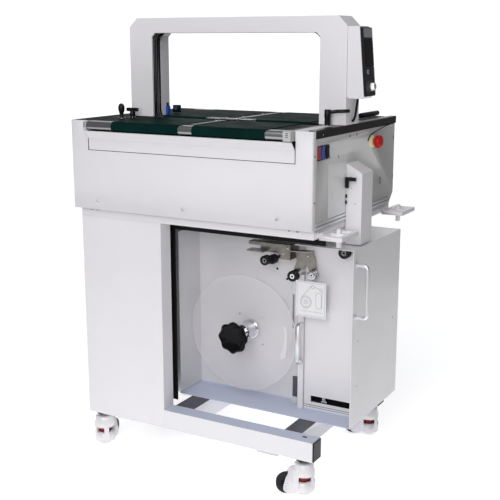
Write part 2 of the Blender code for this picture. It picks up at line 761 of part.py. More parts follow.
def make_chute():
    """Cover of the strap's way up, open towards the body and downwards, with an L-shaped latch."""
    outline = [(chute_x[0], chute_bottom), (chute_x[1], chute_bottom), (chute_x[1], chute_top_outer)]
    outline += [(chute_x[0], chute_top_inner)]
    chute = add("strap_chute", prism(outline, "Y", *chute_y), "white_paint", bevel=0.0008)
    w = chute_wall
    inner = [(chute_x[0] - over, chute_bottom - over), (chute_x[1] - w, chute_bottom - over)]
    inner += [(chute_x[1] - w, chute_top_outer - w), (chute_x[0] - over, chute_top_inner)]
    cut(chute, prism(inner, "Y", chute_y[0] + w, chute_y[1] - w))
    base = Vector(latch_at) - Vector((0, gap, 0))
    pin = cylinder(base, (0, -1, 0), 0.0055, 0.007, 16)
    latch = add("chute_latch", pin, "black_plastic", base, bevel=0.0006)
    arm_y = (base.y - 0.0125, base.y - 0.006)
    join(latch, block((base.x - 0.0115, base.x + 0.020), arm_y, (base.z - 0.005, base.z + 0.005)))
    join(latch, block((base.x - 0.0115, base.x - 0.0025), arm_y, (base.z - 0.026, base.z + 0.004)))


def make_levers():
    """Grip, cross knob and clamping lever on the table beside the arch."""
    base = (0.107, 0.114, deck_top + gap)
    grip = [(0.0, 0.0095), (0.004, 0.0095), (0.0045, 0.0060), (0.013, 0.0055), (0.017, 0.0072)]
    grip += [(0.026, 0.0098), (0.036, 0.0100), (0.043, 0.0075), (0.046, 0.0030)]
    add("clamp_grip_left", turned(grip, base, (0, 0, 1), 20), "black_plastic", base, smooth=True)
    at = (0.113, 0.163, deck_top + gap)
    stem = turned([(0.0, 0.009), (0.022, 0.008)], at, (0, 0, 1), 18)
    knob = add("clamp_knob_left", stem, "black_plastic", at)
    cross_x = (at[0] - 0.019, at[0] + 0.019)
    join(knob, block(cross_x, (at[1] - 0.006, at[1] + 0.006), (at[2] + 0.019, at[2] + 0.030)))
    hub_at = (arch_right - 0.047, arch_front - 0.019, deck_top + gap)
    hub = [(0.0, 0.0085), (0.024, 0.0085), (0.026, 0.0095), (0.044, 0.0095), (0.046, 0.0080)]
    shape = turned(hub, hub_at, (0, 0, 1), 20)
    lever = add("clamp_lever_right", shape, "black_plastic", hub_at, smooth=True)
    start = Vector((hub_at[0], hub_at[1], hub_at[2] + 0.038))
    path = [start, start + Vector((0.030, 0, 0.004)), start + Vector((0.066, 0, 0.006))]
    join(lever, swept(path, 0.0052, 12))


# ---- pull-out reel unit ----
def make_tray():
    """Folded tray: floor, left wall and the plate behind the reel."""
    low = base_top + 2 * gap
    y = (reel_front, reel_rear)
    floor = block((reel_left, reel_right - sheet - gap), y, (low, tray_top))
    tray = add("reel_tray", floor, "white_paint")
    wall_z = (low, reel_top - sheet - gap)
    join(tray, block((reel_left, reel_left + sheet), y, wall_z))
    join(tray, block((reel_left, reel_plate_right), (reel_back_plate, reel_back_plate + sheet), wall_z))


window_x = (reel_right - 0.166, reel_right - 0.011)
window_z = (base_top + 0.0288, base_top + 0.0488)
strap_hole_x = (reel_right - 0.042, reel_right - 0.017)
strap_hole_y = (0.242, 0.285)
bite = 0.001                    # how far joined walls run into each other


def make_cabinet():
    """Right-hand cabinet: front with a low window, side wall, top, rear wall and the post by the reel."""
    low = tray_top + gap
    right = reel_right
    wall_z = (low, reel_top - bite)
    side = block((right - sheet, right), (reel_front, reel_rear + sheet), (base_top + gap, reel_top))
    shell = add("cabinet_shell", side, "white_paint")
    front_left = reel_plate_right + 0.002
    front_y = (cabinet_front, cabinet_front + sheet)
    join(shell, block((front_left, right - bite), front_y, wall_z))
    behind = reel_back_plate + sheet + gap
    top = [(reel_left, behind), (front_left, behind), (front_left, reel_front), (right - bite, reel_front)]
    top += [(right - bite, reel_rear + bite), (reel_left, reel_rear + bite)]
    join(shell, prism(top, "Z", reel_top - sheet, reel_top))
    rear_y = (reel_rear + gap, reel_rear + gap + sheet)
    join(shell, block((reel_left, right - bite), rear_y, wall_z))
    join(shell, block(post_x, post_y, (low, post_top)))
    bridge_x = (post_x[1] - 0.002, front_left + 0.002)
    bridge_y = (front_y[0] + 0.0002, front_y[1] - 0.0002)
    join(shell, block(bridge_x, bridge_y, (low + bite, post_top - bite)))
    cut(shell, block(window_x, (front_y[0] - over, front_y[1] + over), window_z))
    cut(shell, block(strap_hole_x, strap_hole_y, (reel_top - over, reel_top + over)))


pull_handle_radius = 0.0055
post_handle_width = 0.013


def make_handles():
    """Bow handle on the right wall and flat bow handle on the post."""
    y, reach, bend = 0.176, 0.036, 0.012
    high, low = reel_top - 0.045, reel_top - 0.201
    x = reel_right + gap
    path = [(x, y, high), (x + reach - bend, y, high)]
    path += [(x + a, y, b) for a, b in arc((reach - bend, high - bend), bend, 75, 15, 3)]
    path += [(x + reach, y, high - bend), (x + reach, y, low + bend)]
    path += [(x + a, y, b) for a, b in arc((reach - bend, low + bend), bend, -15, -75, 3)]
    path += [(x + reach - bend, y, low), (x, y, low)]
    add("pull_handle", swept(path, pull_handle_radius, 12), "aluminium", smooth=True)
    middle = (post_x[0] + post_x[1]) / 2 + 0.002
    front = post_y[0] - gap
    low, high = reel_z - 0.066, reel_z + 0.064
    depth, slope, thick = 0.031, 0.011, 0.012
    thin, corner = 0.010, 0.005
    inner = front - depth + thin
    outline = [(front, low), (front - depth + slope, low), (front - depth, low + slope)]
    outline += [(front - depth, high - slope), (front - depth + slope, high), (front, high)]
    outline += [(front, high - thick), (inner + corner, high - thick), (inner, high - thick - corner)]
    outline += [(inner, low + thick + corner), (inner + corner, low + thick), (front, low + thick)]
    half = post_handle_width / 2
    add("post_handle", prism(outline, "X", middle - half, middle + half), "aluminium", bevel=0.002)


plate_x = (post_x[0] + 0.006, post_x[0] + 0.105)
plate_z = (reel_top - 0.229, reel_top - 0.119)
plate_y = 0.2000


def make_diagram_plate():
    """Small plate on two studs in front of the cabinet."""
    plate = add("diagram_plate", block(plate_x, (plate_y, plate_y + 0.002), plate_z), "label_plate")
    for z in (plate_z[0] + 0.015, plate_z[1] - 0.015):
        length = cabinet_front - gap - plate_y - 0.001
        join(plate, cylinder((plate_x[1] - 0.018, plate_y + 0.001, z), (0, 1, 0), 0.004, length, 12))


def make_reel():
    """Hub, clear flange and lobed hand knob of the strap reel, on one axis."""
    axis = (reel_x, 0.0, reel_z)
    y_back = reel_back_plate - gap
    step = 0.0002
    profile = [(knob_front + knob_depth + gap, neck_radius), (flange_y - 0.004, neck_radius)]
    profile += [(flange_y - 0.004 + step, hub_radius), (flange_y + 0.045, hub_radius)]
    profile += [(flange_y + 0.045 + step, hub_ring_radius), (y_back - 0.001, hub_ring_radius)]
    profile += [(y_back, hub_ring_radius - 0.001)]
    shape = turned(profile, axis, (0, 1, 0), 28)
    add("reel_hub", shape, "bright_steel", (reel_x, flange_y, reel_z), smooth=True)
    facets = 48
    turn = 360 - 360 / facets
    outer = arc((reel_x, reel_z), flange_radius, 0, turn, facets - 1)
    inner = arc((reel_x, reel_z), hub_radius + 2 * gap, 0, turn, facets - 1)
    y = (flange_y, flange_y + flange_thickness)
    at = (reel_x, flange_y, reel_z)
    add("reel_flange", ring_prism(outer, inner, "Y", *y), "clear_plastic", at, smooth=True)
    knob = [(0.0, knob_radius * 0.86), (0.005, knob_radius * 0.97), (0.016, knob_radius * 0.93)]
    knob += [(0.028, knob_radius * 0.46), (knob_depth, knob_radius * 0.42)]
    at = (reel_x, knob_front, reel_z)
    shape = turned(knob, at, (0, 1, 0), 48, lobes=8, lobe_depth=0.0028)
    add("reel_knob", shape, "black_plastic", at, smooth=True)


feed_y = (0.2050, 0.2250)       # span of the guide rollers
dancer_pivot = (post_x[0] + 0.032, reel_top - 0.049)


def by_pivot(x, z):
    """Point at a distance from the dancer arm's pivot."""
    return (dancer_pivot[0] + x, dancer_pivot[1] + z)


feed_roller_at = by_pivot(-0.138, -0.025)
dancer_roller_at = by_pivot(-0.043, -0.063)
guide_roller_at = by_pivot(0.021, -0.052)
corner_pulley_at = (reel_right - 0.053, reel_top - 0.022)


def make_small_roller(name, at, radius, finish_name, hub_end):
    """Grooved strap roller with a hub that reaches back to what carries it."""
    length = feed_y[1] - feed_y[0]
    groove = radius - 0.0025
    profile = [(0.0, radius - 0.001), (0.002, radius), (0.0035, groove), (length - 0.0035, groove)]
    hub = radius * 0.35
    profile += [(length - 0.002, radius), (length - 0.0004, hub), (hub_end - feed_y[0], hub)]
    shape = turned(profile, (at[0], feed_y[0], at[1]), (0, 1, 0), 18)
    add(name, shape, finish_name, (at[0], feed_y[0], at[1]), smooth=True)


def make_feed():
    """Strap feed above the reel: fixed bracket with rods, sprung dancer arm and four guide rollers."""
    arm_y = (feed_y[1] + gap, post_y[0] - 2 * gap)
    bracket_blocks = (
        ((-0.196, -0.078), (0.212, 0.246), (0.020, 0.030)),
        ((-0.083, -0.050), (0.206, 0.250), (-0.014, 0.032)),
        ((-0.170, -0.060), (0.240, reel_back_plate - gap), (-0.005, 0.029)),
        ((-0.206, -0.148), (0.216, 0.250), (-0.003, 0.001)),
    )
    shapes = []
    for x, y, z in bracket_blocks:
        low = by_pivot(x[0], z[0])
        high = by_pivot(x[1], z[1])
        shapes.append(block((low[0], high[0]), y, (low[1], high[1])))
    bracket = add("feed_bracket", shapes[0], "zinc")
    for shape in shapes[1:]:
        join(bracket, shape)
    rod_x, rod_z = by_pivot(-0.052, 0.014)
    for y in (0.2105, 0.2195):
        join(bracket, cylinder((rod_x, y, rod_z), (1, 0, 0.06), 0.0028, 0.075, 10))
    outline = [(-0.040, 0.0100), (0.014, 0.0120), (0.022, 0.0000), (0.0305, -0.0490), (0.027, -0.0610)]
    outline += [(0.016, -0.0620), (0.006, -0.0500), (-0.004, -0.0280), (-0.0330, -0.0540)]
    outline += [(-0.0360, -0.0710), (-0.0490, -0.0720), (-0.0520, -0.0590), (-0.0440, -0.0360)]
    outline += [(-0.0380, -0.0200)]
    shape = prism([by_pivot(x, z) for x, z in outline], "Y", *arm_y)
    pin = Vector((dancer_pivot[0], arm_y[0], dancer_pivot[1]))
    arm = add("dancer_arm", shape, "zinc", pin)
    pin_length = cabinet_front - gap - arm_y[0] - bite
    join(arm, cylinder(pin + Vector((0, bite, 0)), (0, 1, 0), 0.006, pin_length, 14))
    make_small_roller("feed_roller", feed_roller_at, 0.0155, "black_plastic", 0.2395)
    make_small_roller("dancer_roller", dancer_roller_at, 0.0165, "black_plastic", arm_y[0] - gap)
    make_small_roller("guide_roller", guide_roller_at, 0.0140, "bright_steel", arm_y[0] - gap)
    make_small_roller("corner_pulley", corner_pulley_at, 0.0175, "black_plastic", cabinet_front - gap)


# ---- levelling casters ----
def turned_at(shape, x, y, angle):
    """Shape made round the stem, turned to the caster's heading and moved to its place."""
    turn = Matrix.Translation((x, y, 0.0)) @ Matrix.Rotation(math.radians(angle), 4, "Z")
    bmesh.ops.transform(shape, matrix=turn, verts=shape.verts)
    return shape


def make_caster(place):
    """Swivelling housing with its wheel, and a levelling foot on a screw in the middle."""
    x, y, angle = caster_places[place]
    top = base_bottom - 0.0155
    shoulder = top - 0.012
    housing = [(0.011, caster_radius - 0.001), (0.013, caster_radius), (shoulder - 0.010, caster_radius)]
    housing += [(shoulder - 0.002, caster_radius - 0.004), (shoulder, bearing_radius), (top - 0.003, bearing_radius)]
    housing += [(top, bearing_radius - 0.004)]
    shape = turned(housing, (x, y, 0), (0, 0, 1), 24)
    body = add(f"caster_body_{place}", shape, "white_paint", (x, y, 0), smooth=True)
    side = wheel_width / 2 + 0.0015
    arm = [(0.0, 0.011), (0.024, 0.009), (wheel_trail - 0.012, 0.005), (wheel_trail + 0.001, 0.006)]
    arm += [(wheel_trail + 0.009, 0.014), (wheel_trail + 0.009, 0.025), (wheel_trail + 0.002, 0.052)]
    arm += [(0.044, 0.070), (0.034, 0.077), (0.0, 0.077)]
    join(body, turned_at(prism(arm, "Y", -side - 0.0045, side + 0.0045), x, y, angle))
    well = arc((wheel_trail, wheel_radius), wheel_radius + 0.003, 0, 345, 23)
    cut(body, turned_at(prism(well, "Y", -side, side), x, y, angle))
    cut(body, cylinder((x, y, -over), (0, 0, 1), foot_radius + 0.0015, 0.067 + over, 16))
    window_z = (0.040, 0.058)
    cut(body, turned_at(block((-0.05, 0.0), (-0.013, 0.013), window_z), x, y, angle))
    cut(body, turned_at(block((-0.020, 0.016), (-0.05, 0.05), window_z), x, y, angle))
    cut(body, cylinder((x, y, 0.05), (0, 0, 1), stem_radius + 2 * gap, 0.06, 10))
    half = wheel_width / 2
    tyre = [(-half, wheel_radius - 0.003), (-half + 0.003, wheel_radius), (half - 0.003, wheel_radius)]
    tyre += [(half, wheel_radius - 0.003)]
    wheel = turned(tyre, (wheel_trail, 0, wheel_radius), (0, 1, 0), 24)
    heading = Vector((math.cos(math.radians(angle)), math.sin(math.radians(angle)), 0.0))
    centre = Vector((x, y, wheel_radius)) + heading * wheel_trail
    add(f"caster_wheel_{place}", turned_at(wheel, x, y, angle), "rubber", centre, smooth=True)
    screw = stem_radius
    foot = [(foot_lift, foot_radius), (0.016, foot_radius), (0.0195, screw), (0.040, screw)]
    foot += [(0.0402, foot_radius), (0.056, foot_radius), (0.0562, screw), (0.060, screw)]
    shape = turned(foot, (x, y, 0), (0, 0, 1), 16)
    add(f"caster_foot_{place}", shape, "red_plastic", (x, y, 0), smooth=True)


def centre_on_floor():
    """Move every part, so that the origin is on the floor under the middle of the machine."""
    bpy.context.view_layer.update()
    graph = bpy.context.evaluated_depsgraph_get()
    corners = []
    for part in bpy.data.objects:
        if part.hide_render:
            continue
        seen = part.evaluated_get(graph)
        corners += [seen.matrix_world @ vertex.co for vertex in seen.to_mesh().vertices]
        seen.to_mesh_clear()
    middle_x = (min(c.x for c in corners) + max(c.x for c in corners)) / 2
    middle_y = (min(c.y for c in corners) + max(c.y for c in corners)) / 2
    floor = min(c.z for c in corners)
    shift = Vector((middle_x, middle_y, floor))
    print("origin in building coordinates", [round(value, 6) for value in shift])
    for part in bpy.data.objects:
        part.location -= shift


make_front_panel()
make_side_panels()
make_rear_panel()
make_upper_frame()
make_left_column()
make_base_frame()
make_deck()
make_roller("front_roller", roller_front_y)
make_roller("rear_roller", roller_rear_y)
for side_name, belt_x in zip(("left", "right"), belt_columns):
    make_belt(f"belt_front_{side_name}", belt_x, (roller_front_y, front_belt_end))
    make_belt(f"belt_rear_{side_name}", belt_x, (rear_belt_start, roller_rear_y))
make_flap()
make_arch()
make_strap_track()
make_seal_head()
make_control_box()
make_control_cable()
make_estop()
make_rockers()
make_side_rail()
make_chute()
make_levers()
make_tray()
make_cabinet()
make_handles()
make_diagram_plate()
make_reel()
make_feed()
for caster_place in caster_places:
    make_caster(caster_place)
centre_on_floor()
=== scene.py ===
# Looks of an arch strapping machine: a finish for every part, and the small pieces that the parts carry.
import json
import math

import bmesh
import bpy
import numpy as np
from mathutils import Euler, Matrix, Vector

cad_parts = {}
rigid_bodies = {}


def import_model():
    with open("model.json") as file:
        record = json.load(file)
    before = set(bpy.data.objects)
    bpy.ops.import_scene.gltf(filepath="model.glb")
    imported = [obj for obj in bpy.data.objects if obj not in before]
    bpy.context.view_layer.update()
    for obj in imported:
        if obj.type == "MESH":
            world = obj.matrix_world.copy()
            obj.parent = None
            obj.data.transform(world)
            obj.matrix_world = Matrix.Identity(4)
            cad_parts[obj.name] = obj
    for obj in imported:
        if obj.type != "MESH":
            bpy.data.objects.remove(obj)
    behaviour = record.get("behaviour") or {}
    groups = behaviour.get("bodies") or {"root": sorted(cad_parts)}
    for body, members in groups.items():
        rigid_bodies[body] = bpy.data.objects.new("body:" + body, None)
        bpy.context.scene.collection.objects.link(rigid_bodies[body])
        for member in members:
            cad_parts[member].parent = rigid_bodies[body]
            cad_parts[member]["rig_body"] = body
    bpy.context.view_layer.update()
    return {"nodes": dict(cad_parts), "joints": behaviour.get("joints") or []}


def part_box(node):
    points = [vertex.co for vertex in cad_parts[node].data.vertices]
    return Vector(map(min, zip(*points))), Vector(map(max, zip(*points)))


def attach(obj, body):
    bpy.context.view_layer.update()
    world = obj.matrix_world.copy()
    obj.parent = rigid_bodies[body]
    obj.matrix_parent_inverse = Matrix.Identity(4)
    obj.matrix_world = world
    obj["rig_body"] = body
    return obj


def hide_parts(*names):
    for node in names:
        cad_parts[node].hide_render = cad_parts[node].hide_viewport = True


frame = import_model()
nodes = frame["nodes"]
print("frame loaded:", len(nodes), "parts")

# Places are measured from the body's left side, its front face and the floor, as the parts were.
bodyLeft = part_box("left_side_panel")[0].x
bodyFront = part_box("front_panel")[0].y


def at(x, y, z):
    # the same place in the frame's own coordinates
    return np.array((bodyLeft + x, bodyFront + y, z), float)


def gridFaces(rows, columns, closeRows=False, closeColumns=True):
    # quads between neighbouring points of a grid that is stored row by row
    r, c = np.meshgrid(np.arange(rows - (not closeRows)), np.arange(columns - (not closeColumns)),
                       indexing="ij")
    nextRow, nextColumn = (r + 1) % rows, (c + 1) % columns
    corners = (r * columns + c, r * columns + nextColumn, nextRow * columns + nextColumn,
               nextRow * columns + c)
    return np.stack(corners, -1).reshape(-1, 4).tolist()


def axesAlong(direction):
    # two directions square to the given one, and the direction itself at length one
    along = np.array(direction, float)
    along /= np.linalg.norm(along)
    helper = np.array((0.0, 0.0, 1.0)) if abs(along[2]) < 0.9 else np.array((1.0, 0.0, 0.0))
    side = np.cross(helper, along)
    side /= np.linalg.norm(side)
    return side, np.cross(along, side), along


def turnedShape(profile, centre, direction, sides=48, lobes=0, lobeDepth=0.0):
    # profile rows are (distance along, radius, share of a hexagon) and each is turned once round the axis:
    # point = centre + along * axis + radius * wave(angle) * (cos, sin) in the plane across the axis
    rows = np.array([(p + (0.0,))[:3] for p in profile], float)
    side, up, along = axesAlong(direction)
    angle = np.linspace(0.0, 2 * np.pi, sides, endpoint=False)
    hexagon = np.cos(np.pi / 6) / np.cos((angle % (np.pi / 3)) - np.pi / 6)
    radius = rows[:, 1:2] * (1.0 + rows[:, 2:3] * (hexagon - 1.0)[None])
    radius += lobeDepth * (rows[:, 1:2] / rows[:, 1].max()) ** 2 * np.cos(lobes * angle)[None]
    ring = np.cos(angle)[:, None] * side + np.sin(angle)[:, None] * up
    points = np.array(centre) + rows[:, 0][:, None, None] * along + radius[..., None] * ring[None]
    count = len(rows)
    faces = gridFaces(count, sides)
    faces.append(list(range(sides))[::-1])
    faces.append(list(range((count - 1) * sides, count * sides)))
    return points.reshape(-1, 3), faces


def tubeShape(path, radius, across, sides=20):
    # circle of the given radius carried along a flat path; across is the direction square to the path's
    # plane
    path = np.array(path, float)
    tangent = np.gradient(path, axis=0)
    tangent /= np.linalg.norm(tangent, axis=1)[:, None]
    across = np.array(across, float) / np.linalg.norm(across)
    other = np.cross(tangent, across)
    other /= np.linalg.norm(other, axis=1)[:, None]
    angle = np.linspace(0.0, 2 * np.pi, sides, endpoint=False)
    ring = np.cos(angle)[None, :, None] * across + np.sin(angle)[None, :, None] * other[:, None, :]
    points = path[:, None, :] + radius * ring
    faces = gridFaces(len(path), sides)
    faces.append(list(range(sides))[::-1])
    faces.append(list(range((len(path) - 1) * sides, len(path) * sides)))
    return points.reshape(-1, 3), faces


def blockShape(low, high):
    # box between two corners
    low, high = np.array(low, float), np.array(high, float)
    unit = np.array([(0, 0, 0), (1, 0, 0), (1, 1, 0), (0, 1, 0), (0, 0, 1), (1, 0, 1), (1, 1, 1),
                     (0, 1, 1)], float)
    faces = [[0, 3, 2, 1], [4, 5, 6, 7], [0, 1, 5, 4], [1, 2, 6, 5], [2, 3, 7, 6], [3, 0, 4, 7]]
    return low + unit * (high - low), faces


def outlineShape(outline, origin, uAxis, vAxis, depth):
    # flat outline of (u, v) points pushed along the cross product of its two axes by the depth
    outline = np.array(outline, float)
    u, v = np.array(uAxis, float), np.array(vAxis, float)
    flat = np.array(origin, float) + outline[:, :1] * u + outline[:, 1:] * v
    count = len(outline)
    points = np.concatenate([flat, flat + np.cross(u, v) * depth])
    faces = gridFaces(2, count)
    faces += [list(range(count))[::-1], list(range(count, 2 * count))]
    return points, faces


def ribbonShape(path, width, origin, uAxis, vAxis, depth, closed=False):
    # line of constant width along a flat path: each point moves half the width to both sides of the path's
    # direction
    path = np.array(path, float)
    if closed:
        ahead = np.roll(path, -1, axis=0) - np.roll(path, 1, axis=0)
    else:
        ahead = np.gradient(path, axis=0)
    ahead /= np.linalg.norm(ahead, axis=1)[:, None]
    square = np.stack([-ahead[:, 1], ahead[:, 0]], -1) * width / 2
    u, v = np.array(uAxis, float), np.array(vAxis, float)
    out = np.cross(u, v) * depth
    loops = []
    for line, lift in ((path - square, 0), (path + square, 0), (path + square, 1), (path - square, 1)):
        loops.append(np.array(origin) + line[:, :1] * u + line[:, 1:] * v + out * lift)
    points = np.stack(loops, 1)
    faces = gridFaces(len(path), 4, closeRows=closed)
    if not closed:
        faces += [[0, 1, 2, 3], [4 * len(path) - 1 - i for i in range(4)]]
    return points.reshape(-1, 3), faces


def arcPoints(centre, radius, start, end, steps):
    # points on an arc, angles in degrees
    angle = np.radians(np.linspace(start, end, steps + 1))
    return np.stack([centre[0] + radius * np.cos(angle), centre[1] + radius * np.sin(angle)], -1)


def roundedOutline(low, high, radius, steps=6):
    # rectangle with round corners
    corners = (((high[0], high[1]), 0), ((low[0], high[1]), 90), ((low[0], low[1]), 180),
               ((high[0], low[1]), 270))
    middle = (np.array(low) + np.array(high)) / 2
    parts = []
    for corner, start in corners:
        centre = np.array(corner) - radius * np.sign(np.array(corner) - middle)
        parts.append(arcPoints(centre, radius, start, start + 90, steps))
    return np.concatenate(parts)


def together(shapes):
    # several shapes as one list of points and faces
    points, faces, offset = [], [], 0
    for shapePoints, shapeFaces in shapes:
        points.append(shapePoints)
        faces += [[index + offset for index in face] for face in shapeFaces]
        offset += len(shapePoints)
    return np.concatenate(points), faces


def tidyMesh(mesh, smoothAngle):
    # merges doubled points, turns the faces outwards and rounds the shading below the given angle
    work = bmesh.new()
    work.from_mesh(mesh)
    bmesh.ops.remove_doubles(work, verts=work.verts, dist=0.000002)
    bmesh.ops.recalc_face_normals(work, faces=work.faces)
    work.to_mesh(mesh)
    work.free()
    mesh.shade_smooth()
    mesh.set_sharp_from_angle(angle=math.radians(smoothAngle))


def makePiece(name, shapes, finish, body, bevel=0.0, smoothAngle=40, segments=2):
    # new piece at the origin, with its place in its mesh, riding on a body
    points, faces = together(shapes)
    mesh = bpy.data.meshes.new(name)
    mesh.from_pydata(points.tolist(), [], faces)
    tidyMesh(mesh, smoothAngle)
    mesh.materials.append(finish)
    piece = bpy.data.objects.new(name, mesh)
    bpy.context.scene.collection.objects.link(piece)
    if bevel:
        edge = piece.modifiers.new("edge", "BEVEL")
        edge.width = bevel
        edge.segments = segments
        edge.limit_method = "ANGLE"
        edge.angle_limit = math.radians(smoothAngle)
    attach(piece, body)
    return piece


def smoothCopy(node, finish, smoothAngle=34):
    # the part's own shape with shading that rounds its facets
    mesh = nodes[node].data.copy()
    mesh.name = node + "_surface"
    mesh.materials.clear()
    mesh.materials.append(finish)
    tidyMesh(mesh, smoothAngle)
    piece = bpy.data.objects.new(node + "_surface", mesh)
    bpy.context.scene.collection.objects.link(piece)
    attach(piece, nodes[node]["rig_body"])
    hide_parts(node)
    return piece


def addNode(tree, kind, inputs=None, **settings):
    node = tree.nodes.new("ShaderNode" + kind)
    for key, value in settings.items():
        setattr(node, key, value)
    for key, value in (inputs or {}).items():
        if isinstance(value, bpy.types.NodeSocket):
            tree.links.new(value, node.inputs[key])
        else:
            node.inputs[key].default_value = value
    return node


def noiseAt(tree, place, scale, detail=3.0, stretch=(1.0, 1.0, 1.0)):
    # soft noise on Object coordinates, drawn out along an axis where its stretch is small
    mapped = addNode(tree, "Mapping", {"Vector": place, "Scale": stretch})
    noise = addNode(tree, "TexNoise", {"Vector": mapped.outputs[0], "Scale": scale, "Detail": detail})
    return noise.outputs[0]


def between(tree, value, low, high, fromLow=0.3, fromHigh=0.7):
    # straight line from one range to another
    inputs = {"Value": value, "From Min": fromLow, "From Max": fromHigh, "To Min": low, "To Max": high}
    return addNode(tree, "MapRange", inputs).outputs[0]


def mixed(tree, share, one, two):
    # colour between two colours
    return addNode(tree, "MixRGB", {0: share, 1: one, 2: two}).outputs[0]


def shade(colour, factor):
    return tuple(min(1.0, channel * factor) for channel in colour[:3]) + (1.0,)


def surfaceFinish(name, look):
    # Colour = base varied by broad noise, lighter or darker where an edge has rubbed.
    # Roughness = base varied by a second noise. Bump = fine grain on a normal that is rounded at edges.
    note = {"metal": 0.0, "mottle": 0.03, "mottleScale": 5.0, "grain": 0.00002, "grainScale": 700.0,
            "stretch": (1.0, 1.0, 1.0), "roughSpread": 0.06, "edge": 0.0007, "wear": 0.35,
            "wornColour": None, "coat": 0.0, "specular": 0.5, "zones": ()}
    note.update(look)
    made = bpy.data.materials.new(name)
    made.use_nodes = True
    tree = made.node_tree
    shader = tree.nodes["Principled BSDF"]
    place = addNode(tree, "TexCoord").outputs["Object"]
    colour = note["colour"]
    broad = noiseAt(tree, place, note["mottleScale"], 4.0)
    spread = note["mottle"]
    tint = mixed(tree, between(tree, broad, 0.0, 1.0), shade(colour, 1 - spread), shade(colour, 1 + spread))
    split = addNode(tree, "SeparateXYZ", {0: place})
    for zone in note["zones"]:
        # a zone is a stretch of one axis, or of more, where the colour is another one
        inside = None
        for axis, low, high in zone["spans"]:
            value = split.outputs["XYZ".index(axis)]
            above = addNode(tree, "Math", {0: value, 1: low}, operation="GREATER_THAN").outputs[0]
            below = addNode(tree, "Math", {0: value, 1: high}, operation="LESS_THAN").outputs[0]
            both = addNode(tree, "Math", {0: above, 1: below}, operation="MULTIPLY").outputs[0]
            if inside is None:
                inside = both
            else:
                inside = addNode(tree, "Math", {0: inside, 1: both}, operation="MULTIPLY").outputs[0]
        tint = mixed(tree, inside, tint, shade(zone["colour"], 1.0))
    rounded = addNode(tree, "Bevel", {"Radius": note["edge"]}, samples=4).outputs[0]
    flat = addNode(tree, "NewGeometry").outputs["Normal"]
    alike = addNode(tree, "VectorMath", {0: rounded, 1: flat}, operation="DOT_PRODUCT").outputs["Value"]
    rubbed = between(tree, alike, note["wear"], 0.0, 0.80, 0.97)
    broken = noiseAt(tree, place, 60.0, 5.0)
    rubbed = addNode(tree, "Math", {0: rubbed, 1: between(tree, broken, 0.1, 1.0)},
                     operation="MULTIPLY").outputs[0]
    worn = note["wornColour"] or tuple(0.5 + 0.5 * channel for channel in colour[:3])
    tint = mixed(tree, rubbed, tint, shade(worn, 1.0))
    tree.links.new(tint, shader.inputs["Base Color"])
    patches = noiseAt(tree, place, 14.0, 3.0, note["stretch"])
    low, high = note["rough"] - note["roughSpread"], note["rough"] + note["roughSpread"]
    tree.links.new(between(tree, patches, max(0.02, low), high), shader.inputs["Roughness"])
    fine = noiseAt(tree, place, note["grainScale"], 2.0, note["stretch"])
    bump = addNode(tree, "Bump", {"Height": fine, "Distance": note["grain"], "Strength": 1.0,
                                  "Normal": rounded})
    tree.links.new(bump.outputs[0], shader.inputs["Normal"])
    shader.inputs["Metallic"].default_value = note["metal"]
    shader.inputs["Coat Weight"].default_value = note["coat"]
    shader.inputs["Specular IOR Level"].default_value = note["specular"]
    if "alpha" in note:
        shader.inputs["Alpha"].default_value = note["alpha"]
    return made


whiteTone = (0.775, 0.760, 0.780)
# painted shade: the side panels take a darker grey copy of the white paint, for the faces turned away from
# the light
sideShadeTone = (0.60, 0.60, 0.59)
collarCentre = at(0.820, 0.400, 0.994)
pocketLow, pocketHigh = at(0.8100, 0.0252, 0.9722), at(0.8194, 0.1088, 1.0138)
collarZone = {"spans": (("X", collarCentre[0] + 0.0006, collarCentre[0] + 0.03),
                        ("Y", collarCentre[1] - 0.02, collarCentre[1] + 0.02),
                        ("Z", collarCentre[2] - 0.02, collarCentre[2] + 0.02)), "colour": (0.80, 0.74, 0.42)}
# painted shade: the walls of the switch pocket, recessed in the side panel, are coloured dark bluish grey
pocketShadeZone = {"spans": (("X", pocketLow[0], pocketHigh[0]), ("Y", pocketLow[1], pocketHigh[1]),
                        ("Z", pocketLow[2], pocketHigh[2])), "colour": (0.16, 0.18, 0.27)}
deckZones = ({"spans": (("X", at(0.735, 0, 0)[0], 9.0),), "colour": (0.12, 0.13, 0.13)},
             {"spans": (("X", at(0.752, 0, 0)[0], 9.0), ("Y", -9.0, at(0, 0.40, 0)[1])),
              "colour": (0.66, 0.66, 0.68)},
             {"spans": (("Y", -9.0, at(0, 0.0160, 0)[1]),), "colour": (0.50, 0.50, 0.50)})
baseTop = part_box("left_column")[0].z + 0.060
# painted light: the tray floor is coloured a darker bluish grey for how the top light falls on it
trayFloorShadeTint = {"spans": (("Z", 0.0, baseTop + 0.0075),), "colour": (0.57, 0.62, 0.76)}
# painted shade and light: the base tubes' tops take a darker bluish tone for the top light, and the cross
# tubes' tops, shaded by the reel unit, are painted near black
crossTubes = (("X", at(0.324, 0, 0)[0], at(0.392, 0, 0)[0]), ("X", at(0.709, 0, 0)[0], at(0.767, 0, 0)[0]))
betweenRails = ("Y", at(0, 0.0637, 0)[1], at(0, 0.505, 0)[1])
tubeTops = ("Z", baseTop - 0.0006, 1.0)
baseShadeZones = ({"spans": (tubeTops,), "colour": (0.57, 0.62, 0.76)},
             {"spans": (tubeTops, crossTubes[0], betweenRails), "colour": (0.07, 0.075, 0.085)},
             {"spans": (tubeTops, crossTubes[1], betweenRails), "colour": (0.07, 0.075, 0.085)})
footZone = {"spans": (("Z", -1.0, 0.030),), "colour": (0.02, 0.02, 0.02)}

